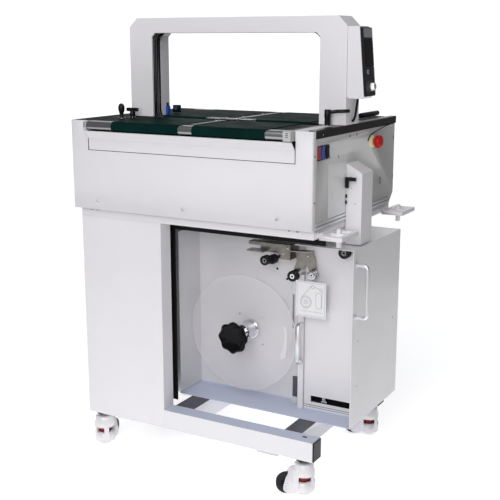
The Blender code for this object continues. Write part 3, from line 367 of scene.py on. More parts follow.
finishes = {
    "whitePaint": {"colour": whiteTone, "rough": 0.36, "grain": 0.000012, "mottle": 0.02, "coat": 0.15,
                   "wornColour": (0.86, 0.85, 0.86)},
    # painted shade: the side panels' finish is the white paint darkened
    "sideShadedPaint": {"colour": sideShadeTone, "rough": 0.38, "grain": 0.000012, "mottle": 0.025, "coat": 0.15,
                  "wornColour": (0.86, 0.86, 0.85), "zones": (collarZone, pocketShadeZone)},
    "trayPaint": {"colour": (0.76, 0.75, 0.77), "rough": 0.40, "grain": 0.000012, "mottle": 0.03,
                  "wornColour": (0.84, 0.84, 0.85), "zones": (trayFloorShadeTint,)},
    "basePaint": {"colour": (0.775, 0.765, 0.785), "rough": 0.36, "grain": 0.000012, "mottle": 0.02,
                  "wornColour": (0.86, 0.85, 0.86), "zones": baseShadeZones},
    "deckPaint": {"colour": (0.016, 0.019, 0.019), "rough": 0.55, "specular": 0.01, "grain": 0.00001,
                  "mottle": 0.25,
                  "mottleScale": 30.0, "wornColour": (0.35, 0.35, 0.35), "zones": deckZones},
    "beltGreen": {"colour": (0.003, 0.018, 0.016), "rough": 0.55, "specular": 0.01, "grain": 0.00005,
                  "grainScale": 420.0,
                  "mottle": 0.25, "mottleScale": 9.0, "wear": 0.25, "wornColour": (0.03, 0.10, 0.09)},
    "blackPlastic": {"colour": (0.009, 0.009, 0.010), "rough": 0.34, "specular": 0.22, "grain": 0.00003,
                     "grainScale": 900.0,
                     "mottle": 0.2, "wear": 0.25, "wornColour": (0.10, 0.10, 0.10)},
    "trackBlack": {"colour": (0.007, 0.007, 0.008), "rough": 0.22, "specular": 0.22, "grain": 0.000008,
                   "mottle": 0.2, "wear": 0.2,
                   "wornColour": (0.12, 0.12, 0.12)},
    "knobBlack": {"colour": (0.004, 0.004, 0.005), "rough": 0.16, "grain": 0.000006, "mottle": 0.1,
                  "specular": 0.12,
                  "wear": 0.1, "wornColour": (0.05, 0.05, 0.05)},
    "screenBlack": {"colour": (0.003, 0.003, 0.004), "rough": 0.12, "grain": 0.000002, "mottle": 0.1,
                    "specular": 0.1,
                    "wear": 0.05},
    "rollerBlack": {"colour": (0.012, 0.012, 0.013), "rough": 0.36, "specular": 0.25, "grain": 0.00002,
                    "mottle": 0.2, "wear": 0.4,
                    "wornColour": (0.14, 0.14, 0.14)},
    "railBlack": {"colour": (0.008, 0.008, 0.009), "rough": 0.30, "specular": 0.2, "grain": 0.00001,
                  "stretch": (1.0, 0.04, 1.0), "wear": 0.5, "wornColour": (0.30, 0.30, 0.30)},
    "wheelBlack": {"colour": (0.016, 0.015, 0.015), "rough": 0.55, "specular": 0.2, "grain": 0.00008,
                   "grainScale": 300.0,
                   "mottle": 0.3, "mottleScale": 30.0, "wornColour": (0.10, 0.09, 0.085)},
    "rubberBlack": {"colour": (0.008, 0.008, 0.008), "rough": 0.62, "specular": 0.15, "grain": 0.00006,
                    "grainScale": 350.0,
                    "mottle": 0.2, "wear": 0.1},
    "brightSteel": {"colour": (0.62, 0.62, 0.63), "rough": 0.22, "metal": 1.0, "grain": 0.00001,
                    "grainScale": 500.0, "stretch": (0.05, 1.0, 1.0), "mottle": 0.08, "wear": 0.3},
    "rollerSteel": {"colour": (0.36, 0.36, 0.37), "rough": 0.30, "metal": 1.0, "grain": 0.00001,
                    "grainScale": 500.0, "stretch": (0.05, 1.0, 1.0), "mottle": 0.08, "wear": 0.3},
    "turnedSteel": {"colour": (0.60, 0.60, 0.61), "rough": 0.24, "metal": 1.0, "grain": 0.00001,
                    "grainScale": 600.0, "stretch": (0.2, 1.0, 0.2), "mottle": 0.08},
    "chrome": {"colour": (0.72, 0.73, 0.76), "rough": 0.08, "metal": 1.0, "grain": 0.000003, "mottle": 0.04,
               "roughSpread": 0.03},
    "zinc": {"colour": (0.33, 0.31, 0.28), "rough": 0.34, "metal": 1.0, "grain": 0.00002, "mottle": 0.15,
             "mottleScale": 40.0, "roughSpread": 0.1},
    "aluminium": {"colour": (0.84, 0.85, 0.87), "rough": 0.40, "metal": 1.0, "grain": 0.00001,
                  "grainScale": 500.0, "stretch": (1.0, 1.0, 0.05), "mottle": 0.05},
    "clearAcrylic": {"colour": (0.93, 0.90, 0.93), "rough": 0.08, "grain": 0.000002, "mottle": 0.01,
                     "roughSpread": 0.03, "alpha": 0.16, "wear": 0.0},
    "acrylicEdge": {"colour": (0.95, 0.93, 0.95), "rough": 0.15, "grain": 0.000002, "mottle": 0.01,
                    "alpha": 0.62, "wear": 0.0},
    "labelWhite": {"colour": (0.84, 0.84, 0.85), "rough": 0.30, "grain": 0.000004, "mottle": 0.01},
    "lineGrey": {"colour": (0.26, 0.27, 0.30), "rough": 0.5, "grain": 0.000004, "mottle": 0.05, "wear": 0.0},
    "redPlastic": {"colour": (0.50, 0.008, 0.008), "rough": 0.26, "grain": 0.00001, "mottle": 0.06,
                   "specular": 0.3,
                   "wornColour": (0.75, 0.10, 0.08)},
    "switchRed": {"colour": (0.42, 0.035, 0.035), "rough": 0.28, "grain": 0.00001, "mottle": 0.06},
    "bluePlastic": {"colour": (0.035, 0.10, 0.36), "rough": 0.28, "grain": 0.00001, "mottle": 0.08},
    "sensorBlue": {"colour": (0.003, 0.055, 0.42), "rough": 0.30, "grain": 0.00001, "mottle": 0.06},
    "casterPaint": {"colour": (0.78, 0.76, 0.78), "rough": 0.25, "grain": 0.00002, "grainScale": 260.0,
                    "mottle": 0.03, "coat": 0.4, "wornColour": (0.6, 0.58, 0.56)},
    "footRed": {"colour": (0.34, 0.020, 0.022), "rough": 0.42, "grain": 0.00004, "grainScale": 300.0,
                "mottle": 0.2, "zones": (footZone,)},
    "arrowWhite": {"colour": (0.90, 0.89, 0.90), "rough": 0.30, "grain": 0.000004, "mottle": 0.01,
                   "alpha": 0.6,
                   "wear": 0.0},
    "capNavy": {"colour": (0.010, 0.030, 0.120), "rough": 0.35, "grain": 0.00001, "mottle": 0.06,
                "specular": 0.25},
    "boltGrey": {"colour": (0.10, 0.10, 0.11), "rough": 0.34, "metal": 0.6, "grain": 0.00001, "mottle": 0.1},
    # painted shade: near-black finish for slots, gaps and the window, standing in for the shade inside them
    "holeShadeBlack": {"colour": (0.010, 0.010, 0.011), "rough": 0.6, "specular": 0.1, "grain": 0.00002,
                   "mottle": 0.2, "wear": 0.0},
}
materials = {name: surfaceFinish(name, look) for name, look in finishes.items()}
print("finishes made:", len(materials))


def curvedRoute(knots, steps):
    # each stretch is the cubic through four neighbouring knots, so the line passes through every knot
    knots = np.array(knots, float)
    padded = np.concatenate([[2 * knots[0] - knots[1]], knots, [2 * knots[-1] - knots[-2]]])
    points = []
    for a, b, c, d in zip(padded, padded[1:], padded[2:], padded[3:]):
        for t in np.arange(steps) / steps:
            bend = (3 * b - 3 * c + d - a) * t ** 3 + (2 * a - 5 * b + 4 * c - d) * t ** 2
            points.append(0.5 * (2 * b + (c - a) * t + bend))
    return np.array(points + [knots[-1]])


def cordPiece(name, knots, radius, finish):
    # round cable with one open centreline
    points = curvedRoute(knots, 8)
    curve = bpy.data.curves.new(name, "CURVE")
    curve.dimensions = "3D"
    curve.bevel_depth = radius
    curve.bevel_resolution = 5
    curve.use_fill_caps = True
    line = curve.splines.new("POLY")
    line.points.add(len(points) - 1)
    for point, spot in zip(line.points, points):
        point.co = (*spot, 1.0)
    curve.materials.append(finish)
    piece = bpy.data.objects.new(name, curve)
    bpy.context.scene.collection.objects.link(piece)
    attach(piece, "machine_body")
    return piece


# routes as (x, y, z) knots, each from the end that leaves the machine first
cords = {
    "control_lead": {"radius": 0.0035, "lay": "hanging",
                     "knots": [(0.8315, 0.262, 1.1307), (0.8315, 0.262, 1.1190), (0.8305, 0.258, 1.1010),
                               (0.8305, 0.251, 1.0810), (0.8295, 0.247, 1.0730), (0.8260, 0.246, 1.0665),
                               (0.8232, 0.246, 1.0665)]},
    "stop_lead": {"radius": 0.0015, "lay": "hanging",
                  "knots": [(0.8222, 0.5460, 1.0340), (0.8234, 0.5000, 1.0310), (0.8234, 0.4200, 1.0200),
                            (0.8234, 0.3860, 1.0130), (0.8222, 0.3710, 0.9985)]},
}

# the view: where the camera stands, how far it is turned and tilted in degrees, and its lens in millimetres
cameraLook = {"place": at(1.8995, -2.2540, 1.2888), "azimuth": 29.43, "lookDown": 12.50, "lens": 67.92}


def studioCamera():
    camera = bpy.data.cameras.new("camera")
    camera.lens = cameraLook["lens"]
    camera.sensor_width = 36.0
    view = bpy.data.objects.new("camera", camera)
    bpy.context.scene.collection.objects.link(view)
    view.location = cameraLook["place"]
    tilt, turn = math.radians(90 - cameraLook["lookDown"]), math.radians(cameraLook["azimuth"])
    view.rotation_euler = Euler((tilt, 0.0, turn))
    bpy.context.scene.camera = view


studioCamera()
for name, cord in cords.items():
    route = [at(*knot) for knot in cord["knots"]]
    lead = cordPiece(name, route, cord["radius"], materials["rubberBlack"])
    if name == "control_lead":
        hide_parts("control_cable")
print("camera and cords made")

# which finish each part takes; parts with round faces are drawn again with rounded shading
partFinishes = {
    "front_panel": "whitePaint", "left_side_panel": "sideShadedPaint", "right_side_panel": "sideShadedPaint",
    "rear_panel": "whitePaint", "upper_frame": "whitePaint", "left_column": "whitePaint",
    "base_frame": "basePaint", "table_top": "deckPaint", "belt_front_left": "beltGreen",
    "belt_front_right": "beltGreen", "belt_rear_left": "beltGreen", "belt_rear_right": "beltGreen",
    "arch_frame": "whitePaint", "strap_track": "trackBlack", "seal_head": "brightSteel",
    "control_box": "whitePaint", "control_panel": "blackPlastic",
    "side_rail": "railBlack", "strap_chute": "whitePaint", "front_flap": "whitePaint",
    "switch_red": "switchRed", "switch_blue": "bluePlastic", "switch_black": "blackPlastic",
    "clamp_lever_right": "blackPlastic", "clamp_knob_left": "blackPlastic",
    "clamp_grip_left": "blackPlastic",
    "chute_latch": "blackPlastic", "reel_tray": "trayPaint", "cabinet_shell": "whitePaint",
    "diagram_plate": "labelWhite", "feed_bracket": "zinc", "dancer_arm": "zinc", "post_handle": "aluminium",
}
for place in ("front_left", "front_right", "rear_left", "rear_right"):
    partFinishes["caster_body_" + place] = "casterPaint"
    partFinishes["caster_foot_" + place] = "footRed"
roundParts = ["front_panel", "belt_front_left", "belt_front_right", "belt_rear_left", "belt_rear_right",
              "clamp_lever_right", "clamp_knob_left", "clamp_grip_left", "chute_latch",
              "post_handle", "strap_track", "right_side_panel", "upper_frame", "base_frame"]
roundParts += [name for name in partFinishes if name.startswith("caster_")]
for node, finishName in partFinishes.items():
    if node in roundParts:
        smoothCopy(node, materials[finishName])
    else:
        nodes[node].data.materials.clear()
        nodes[node].data.materials.append(materials[finishName])
print("parts finished:", len(partFinishes))


reelLook = {
    "centre": at(0.477, 0.0, 0.388),    # the axis runs along Y
    "flangeRadius": 0.1878,
    "rimWidth": 0.0016,
    "hubRadius": 0.026,
    "ringRadius": 0.0318,
    "neckRadius": 0.0178,
    "knobRadius": 0.050,
    "lobes": 8,
    "lobeDepth": 0.0027,
}


def onReel(distance):
    # point on the reel's axis at a distance behind the front face
    return np.array((reelLook["centre"][0], bodyFront + distance, reelLook["centre"][2]))


def reelFlange():
    # clear disc: a ring with a flat section, whose rim is a separate bright band
    low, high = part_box("reel_flange")
    inner, outer = reelLook["hubRadius"] + 0.0008, reelLook["flangeRadius"]
    thick = high.y - low.y
    start = onReel(low.y - bodyFront)
    rim = reelLook["rimWidth"]
    profile = [(0.0, inner), (0.0, outer - rim), (thick, outer - rim), (thick, inner), (0.0, inner)]
    points, faces = turnedShape(profile, start, (0, 1, 0), 144)
    disc = makePiece("flange_disc", [(points, faces[:-2])], materials["clearAcrylic"], "reel")
    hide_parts("reel_flange")
    edge = [(0.0, outer - rim + 0.0001), (0.0, outer - 0.0004), (0.0004, outer), (thick - 0.0004, outer),
            (thick, outer - 0.0004), (thick, outer - rim + 0.0001), (0.0, outer - rim + 0.0001)]
    points, faces = turnedShape(edge, start, (0, 1, 0), 144)
    makePiece("flange_rim", [(points, faces[:-2])], materials["acrylicEdge"], "reel")
    # curved arrow: a ring sector that narrows from its tail, with a triangular head
    turn = np.radians(np.linspace(16, -18, 14))
    middle, half = 0.152, np.linspace(0.0045, 0.0075, 14)
    outerLine = np.stack([(middle + half) * np.cos(turn), (middle + half) * np.sin(turn)], -1)
    innerLine = np.stack([(middle - half) * np.cos(turn), (middle - half) * np.sin(turn)], -1)
    tip = np.radians(-27)
    head = np.array([((middle + 0.014) * math.cos(turn[-1]), (middle + 0.014) * math.sin(turn[-1])),
                     (middle * math.cos(tip), middle * math.sin(tip)),
                     ((middle - 0.014) * math.cos(turn[-1]), (middle - 0.014) * math.sin(turn[-1]))])
    outline = np.concatenate([outerLine, head, innerLine[::-1]])
    origin = start + np.array((0, 0.0001, 0))
    arrow = outlineShape(outline, origin, (1, 0, 0), (0, 0, 1), 0.0005)
    makePiece("flange_arrow", [arrow], materials["arrowWhite"], "reel")


def reelHub():
    # turned hub with grooves, a collar behind the flange and a slim neck under the knob
    low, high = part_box("reel_hub")
    neck, hub, ring = reelLook["neckRadius"], reelLook["hubRadius"], reelLook["ringRadius"]
    begin, end = low.y - bodyFront, high.y - bodyFront
    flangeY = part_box("reel_flange")[0].y - bodyFront
    profile = [(begin, neck - 0.001), (begin + 0.001, neck), (begin + 0.010, neck),
               (begin + 0.0105, neck - 0.0015),
               (begin + 0.0125, neck - 0.0015), (begin + 0.013, neck), (flangeY - 0.0055, neck),
               (flangeY - 0.0040, neck + 0.001), (flangeY - 0.0039, hub - 0.001), (flangeY - 0.0029, hub)]
    for groove in (0.012, 0.022, 0.032):
        profile += [(flangeY + groove, hub), (flangeY + groove + 0.0006, hub - 0.0012),
                    (flangeY + groove + 0.0018, hub - 0.0012), (flangeY + groove + 0.0024, hub)]
    profile += [(flangeY + 0.0448, hub), (flangeY + 0.0452, ring - 0.001), (flangeY + 0.0462, ring),
                (end - 0.0012, ring), (end - 0.0004, ring - 0.001)]
    shape = turnedShape(profile, onReel(0.0), (0, 1, 0), 96)
    hubPiece = makePiece("hub_turned", [shape], materials["chrome"], "reel", smoothAngle=30)
    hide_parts("reel_hub")


def reelKnob():
    # star knob: rings whose radius waves eight times round, with a dished front face
    low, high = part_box("reel_knob")
    begin, end = low.y - bodyFront, high.y - bodyFront
    r = reelLook["knobRadius"]
    profile = [(begin + 0.0060, 0.0002), (begin + 0.0058, 0.010), (begin + 0.0050, 0.020),
               (begin + 0.0030, 0.032),
               (begin + 0.0010, r * 0.80), (begin, r * 0.86), (begin + 0.0012, r * 0.92),
               (begin + 0.0045, r * 0.97),
               (begin + 0.010, r * 0.965), (begin + 0.016, r * 0.92), (begin + 0.021, r * 0.78),
               (begin + 0.0255, r * 0.56), (begin + 0.029, r * 0.455), (end - 0.001, r * 0.42),
               (end, r * 0.40)]
    shape = turnedShape(profile, onReel(0.0), (0, 1, 0), 160, reelLook["lobes"], reelLook["lobeDepth"])
    knob = makePiece("knob_star", [shape], materials["knobBlack"], "reel_knob", smoothAngle=60)
    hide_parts("reel_knob")


reelFlange()
reelHub()
reelKnob()
print("reel made")


rollerLook = {"sides": 72, "endChamfer": 0.0012, "journalRadius": 0.004}


def longRoller(node):
    # ground steel roller: cylinder with chamfered ends and a journal at each end
    low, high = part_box(node)
    r = (high.z - low.z) / 2
    middle = np.array((low.x, (low.y + high.y) / 2, (low.z + high.z) / 2))
    length = high.x - low.x
    journal, c = 0.0060, rollerLook["endChamfer"]
    j = rollerLook["journalRadius"]
    profile = [(0.0, j - 0.0006), (0.0006, j), (journal, j), (journal + 0.0002, r - c), (journal + c, r)]
    profile += [(length - journal - c, r), (length - journal - 0.0002, r - c), (length - journal, j),
                (length - 0.0006, j), (length, j - 0.0006)]
    roller = makePiece(node + "_ground", [turnedShape(profile, middle, (1, 0, 0), rollerLook["sides"])],
                       materials["rollerSteel"], node, smoothAngle=30)
    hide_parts(node)


def strapRoller(node, finishName):
    # grooved guide roller with a bearing ring in its face
    low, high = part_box(node)
    r = (high.x - low.x) / 2 - 0.00005
    face = np.array(((low.x + high.x) / 2, low.y, (low.z + high.z) / 2))
    body = nodes[node]["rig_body"]
    width = 0.020
    depth = high.y - low.y
    profile = [(0.0022, 0.0003), (0.0022, r * 0.50), (0.0022, r * 0.52), (0.0002, r * 0.54),
               (0.0, r - 0.0014),
               (0.0004, r - 0.0004), (0.0016, r), (0.0024, r - 0.0002), (0.0040, r - 0.0026),
               (width - 0.0040, r - 0.0026), (width - 0.0024, r - 0.0002), (width - 0.0016, r),
               (width - 0.0006, r - 0.001), (width - 0.0004, r * 0.35), (depth, r * 0.35)]
    tyre = makePiece(node + "_tyre", [turnedShape(profile, face, (0, 1, 0), 64)], materials[finishName],
                     body)
    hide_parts(node)
    ring = [(0.0020, r * 0.20), (0.0006, r * 0.22), (0.0006, r * 0.46), (0.0020, r * 0.48)]
    makePiece(node + "_bearing", [turnedShape(ring, face, (0, 1, 0), 40)], materials["chrome"], body)


longRoller("front_roller")
longRoller("rear_roller")
for rollerNode in ("feed_roller", "dancer_roller", "corner_pulley"):
    strapRoller(rollerNode, "rollerBlack")
strapRoller("guide_roller", "turnedSteel")
print("rollers made")


handleLook = {"radius": 0.0054, "bend": 0.012, "reach": 0.036, "footRadius": 0.0085, "footHeight": 0.003}


def pullHandle():
    # bow: two legs and a grip joined by quarter circles, on small round feet
    low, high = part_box("pull_handle")
    r, bend, reach = handleLook["radius"], handleLook["bend"], handleLook["reach"]
    y = (low.y + high.y) / 2
    top, bottom = high.z - 0.0056, low.z + 0.0056
    x = low.x
    flat = [np.array([(0.0, top), (0.010, top), (reach - bend - 0.002, top)])]
    flat.append(arcPoints((reach - bend, top - bend), bend, 90, 0, 10))
    flat.append(np.linspace((reach, top - bend - 0.002), (reach, bottom + bend + 0.002), 8))
    flat.append(arcPoints((reach - bend, bottom + bend), bend, 0, -90, 10))
    flat.append(np.array([(reach - bend - 0.002, bottom), (0.010, bottom), (0.0, bottom)]))
    flat = np.concatenate(flat)
    path = np.stack([x + flat[:, 0], np.full(len(flat), y), flat[:, 1]], -1)
    bow = tubeShape(path, r, (0, 1, 0), 32)
    handle = makePiece("pull_bow", [bow], materials["aluminium"], "reel_unit", smoothAngle=60)
    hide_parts("pull_handle")
    feet = []
    for z in (top, bottom):
        foot = [(0.0, r + 0.0002), (0.0, handleLook["footRadius"]),
                (handleLook["footHeight"] - 0.001, handleLook["footRadius"]),
                (handleLook["footHeight"], handleLook["footRadius"] - 0.001),
                (handleLook["footHeight"], r + 0.0002),
                (0.0, r + 0.0002)]
        points, faces = turnedShape(foot, (x, y, z), (1, 0, 0), 32)
        feet.append((points, faces[:-2]))
    makePiece("pull_handle_feet", feet, materials["aluminium"], "reel_unit")


def stopButton():
    # mushroom head with a rounded rim and a shallow dish, on its stem
    low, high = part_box("estop_button")
    y, z = (low.y + high.y) / 2, (low.z + high.z) / 2
    r = (high.y - low.y) / 2 - 0.00005
    length = high.x - low.x
    stem = length - 0.0205
    profile = [(0.0, 0.0078), (stem, 0.0078), (stem + 0.0003, r * 0.84), (stem + 0.0016, r * 0.95),
               (stem + 0.0040, r), (stem + 0.0110, r), (stem + 0.0138, r * 0.975), (stem + 0.0162, r * 0.90),
               (stem + 0.0180, r * 0.76), (stem + 0.0196, r * 0.55), (stem + 0.0203, r * 0.30),
               (stem + 0.0203, 0.0003)]
    head = makePiece("stop_head", [turnedShape(profile, (low.x, y, z), (1, 0, 0), 80)],
                     materials["redPlastic"],
                     "estop_button", smoothAngle=50)
    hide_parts("estop_button")


panelNormal = np.array([j for j in frame["joints"] if j["name"] == "dial_turn"][0]["axis"], float)
panelNormal /= np.linalg.norm(panelNormal)
dialPlace = np.array([j for j in frame["joints"] if j["name"] == "dial_turn"][0]["pos_m"], float)


def dialKnob():
    # knurled cap: the radius waves forty times round, on a thin skirt
    profile = [(-0.005, 0.0039), (0.0004, 0.0039), (0.0005, 0.0112), (0.0012, 0.0116), (0.0030, 0.0117),
               (0.0035, 0.0106), (0.0120, 0.0098), (0.0134, 0.0088), (0.0138, 0.0078), (0.0138, 0.0003)]
    shape = turnedShape(profile, dialPlace, panelNormal, 160, 40, 0.0003)
    dial = makePiece("dial_cap", [shape], materials["aluminium"], "dial_knob", smoothAngle=30)
    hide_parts("dial_knob")
    up = np.cross(panelNormal, (0, 1, 0))
    up /= np.linalg.norm(up)
    mark = outlineShape([(-0.0006, 0.002), (0.0006, 0.002), (0.0006, 0.0082), (-0.0006, 0.0082)],
                        dialPlace + panelNormal * 0.0138, (0, 1, 0), np.cross(panelNormal, (0, 1, 0)),
                        0.00015)
    makePiece("dial_mark", [mark], materials["lineGrey"], "dial_knob")


def startButton():
    joint = [j for j in frame["joints"] if j["name"] == "start_press"][0]
    low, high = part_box("start_button")
    centre = np.array(((low.x + high.x) / 2, (low.y + high.y) / 2, (low.z + high.z) / 2))
    out = -np.array(joint["axis"], float)
    profile = [(-0.0022, 0.0038), (0.0010, 0.0038), (0.0018, 0.0034), (0.0021, 0.0024), (0.0021, 0.0002)]
    cap = makePiece("start_cap", [turnedShape(profile, centre, out, 48)], materials["sensorBlue"],
                    "start_button")
    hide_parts("start_button")
    ring = [(0.0, 0.0045), (0.0, 0.0062), (0.0006, 0.0062), (0.0008, 0.0058), (0.0008, 0.0045),
            (0.0, 0.0045)]
    face = centre + out * 0.0006
    points, faces = turnedShape(ring, face, out, 48)
    makePiece("start_ring", [(points, faces[:-2])], materials["aluminium"], "machine_body")


pullHandle()
stopButton()
dialKnob()
startButton()
print("handles and buttons made")


casterLook = {"wheelRadius": 0.031, "wheelWidth": 0.022, "axleRadius": 0.0050}


def casterDetails(place):
    # wheel with a rounded tread and two grooves, its axle ends, and the nut and plate above the housing
    wheelNode = "caster_wheel_" + place
    joint = [j for j in frame["joints"] if j["name"] == "caster_" + place + "_roll"][0]
    axle = np.array(joint["axis"], float)
    centre = np.array(joint["pos_m"], float)
    r, half = casterLook["wheelRadius"] - 0.00005, casterLook["wheelWidth"] / 2
    profile = [(-half + 0.0015, 0.0062), (-half + 0.0015, 0.0150), (-half + 0.0004, 0.0165), (-half, 0.0180),
               (-half, r - 0.0040), (-half + 0.0010, r - 0.0015), (-half + 0.0035, r - 0.0002), (-0.0040, r),
               (-0.0034, r - 0.0008), (-0.0026, r - 0.0008), (-0.0020, r), (0.0020, r), (0.0026, r - 0.0008),
               (0.0034, r - 0.0008), (0.0040, r), (half - 0.0035, r - 0.0002), (half - 0.0010, r - 0.0015),
               (half, r - 0.0040), (half, 0.0180), (half - 0.0004, 0.0165), (half - 0.0015, 0.0150),
               (half - 0.0015, 0.0062)]
    wheel = makePiece("wheel_" + place, [turnedShape(profile, centre, axle, 72)], materials["wheelBlack"],
                      wheelNode)
    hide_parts(wheelNode)
    bolts = []
    reach = half + 0.0060
    for way in (-1, 1):
        a = casterLook["axleRadius"]
        bolt = [(0.0, a), (0.0014, a), (0.0020, a - 0.0006), (0.0020, a * 0.55, 1.0),
                (0.0008, a * 0.55, 1.0),
                (0.0008, 0.0002)]
        bolts.append(turnedShape(bolt, centre + axle * way * (reach - 0.0005), axle * way, 36))
    makePiece("axle_bolts_" + place, bolts, materials["chrome"], "caster_body_" + place)
    swivel = [j for j in frame["joints"] if j["name"] == "caster_" + place + "_swivel"][0]["pos_m"]
    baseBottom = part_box("left_column")[0].z
    stem = np.array((swivel[0], swivel[1], 0.0))
    plate = [(baseBottom - 0.0066, 0.0228), (baseBottom - 0.0066, 0.0232), (baseBottom - 0.0002, 0.0232),
             (baseBottom - 0.0002, 0.0228)]
    makePiece("stem_plate_" + place, [turnedShape(plate, stem, (0, 0, 1), 48)], materials["blackPlastic"],
              "machine_body")
    nut = [(baseBottom - 0.0156, 0.0100), (baseBottom - 0.0154, 0.0138, 0.6),
           (baseBottom - 0.0146, 0.0142, 1.0),
           (baseBottom - 0.0068, 0.0142, 1.0)]
    makePiece("stem_nut_" + place, [turnedShape(nut, stem, (0, 0, 1), 60)], materials["zinc"],
              "machine_body",
              smoothAngle=25)


for place in ("front_left", "front_right", "rear_left", "rear_right"):
    casterDetails(place)
print("casters made")


def screwShape(centre, direction, radius, height=None):
    # button head: a dome with a hexagonal socket
    height = height or radius * 0.55
    profile = [(0.0, radius), (height * 0.35, radius * 0.98), (height * 0.75, radius * 0.80),
               (height, radius * 0.56),
               (height, radius * 0.50, 1.0), (height * 0.35, radius * 0.46, 1.0), (height * 0.35, 0.0001)]
    return turnedShape(profile, centre, direction, 36)


screws = {
    "front_screws": {"body": "machine_body", "facing": (0, -1, 0), "radius": 0.0046, "finish": "turnedSteel",
                     "places": [(0.094, 0.0, 0.810), (0.403, 0.0, 0.809), (0.712, 0.0, 0.809)]},
    "lower_edge_screws": {"body": "machine_body", "facing": (0, -1, 0), "radius": 0.0040,
                          "finish": "turnedSteel",
                          "places": [(0.060, 0.0123, 0.7790), (0.082, 0.0123, 0.7790),
                                     (0.744, 0.0123, 0.7790),
                                     (0.770, 0.0123, 0.7790)]},
    "right_side_screws": {"body": "machine_body", "facing": (1, 0, 0), "radius": 0.0042,
                          "finish": "turnedSteel",
                          "places": [(0.820, 0.160, 0.972), (0.820, 0.0095, 0.986), (0.820, 0.0095, 0.861)]},
    "rear_screws": {"body": "machine_body", "facing": (0, 1, 0), "radius": 0.0042, "finish": "turnedSteel",
                    "places": [(0.060, 0.5955, 0.850), (0.410, 0.5955, 0.850), (0.760, 0.5955, 0.850),
                               (0.060, 0.5955, 1.030), (0.410, 0.5955, 1.030), (0.730, 0.5955, 1.030)]},
    "rail_bolts": {"body": "machine_body", "facing": (1, 0, 0), "radius": 0.0046, "finish": "chrome",
                   "places": [(0.8166, 0.064, 1.0405), (0.8166, 0.550, 1.0405)]},
    "chute_screws": {"body": "machine_body", "facing": (0, -1, 0), "radius": 0.0022, "finish": "turnedSteel",
                     "places": [(0.838, 0.2203, 0.877), (0.849, 0.2203, 0.832)]},
    "reel_plate_screws": {"body": "reel_unit", "facing": (0, -1, 0), "radius": 0.0034,
                          "finish": "turnedSteel",
                          "places": [(0.432, 0.280, 0.430), (0.517, 0.280, 0.430), (0.518, 0.280, 0.340),
                                     (0.432, 0.280, 0.340)]},
    "reel_plate_plugs": {"body": "reel_unit", "facing": (0, -1, 0), "radius": 0.0036,
                         "finish": "blackPlastic",
                         "places": [(0.568, 0.280, 0.595), (0.603, 0.280, 0.566)]},
    "cabinet_side_screws": {"body": "reel_unit", "facing": (1, 0, 0), "radius": 0.0026,
                            "finish": "turnedSteel",
                            "places": [(0.877, 0.200, 0.430), (0.877, 0.200, 0.290), (0.877, 0.480, 0.430)]},
    "bracket_screws": {"body": "reel_unit", "facing": (0, -1, 0), "radius": 0.0040, "finish": "chrome",
                       "places": [(0.626, 0.206, 0.664), (0.641, 0.206, 0.682)]},
    "dancer_screws": {"body": "dancer_arm", "facing": (0, -1, 0), "radius": 0.0038, "finish": "chrome",
                      "places": [(0.700, 0.2253, 0.660)]},
    "belt_gap_screws": {"body": "machine_body", "facing": (0, 0, 1), "radius": 0.0050, "finish": "chrome",
                        "places": [(0.4280, 0.150, 1.0562), (0.4280, 0.314, 1.0562),
                                   (0.4280, 0.439, 1.0562)]},
    "post_handle_screws": {"body": "reel_unit", "facing": (0, -1, 0), "radius": 0.0028,
                           "finish": "turnedSteel",
                           "places": [(0.679, 0.2085, 0.3275), (0.679, 0.2085, 0.4465)]},
}
for name, group in screws.items():
    heads = [screwShape(at(*spot), group["facing"], group["radius"]) for spot in group["places"]]
    makePiece(name, heads, materials[group["finish"]], group["body"], smoothAngle=25)

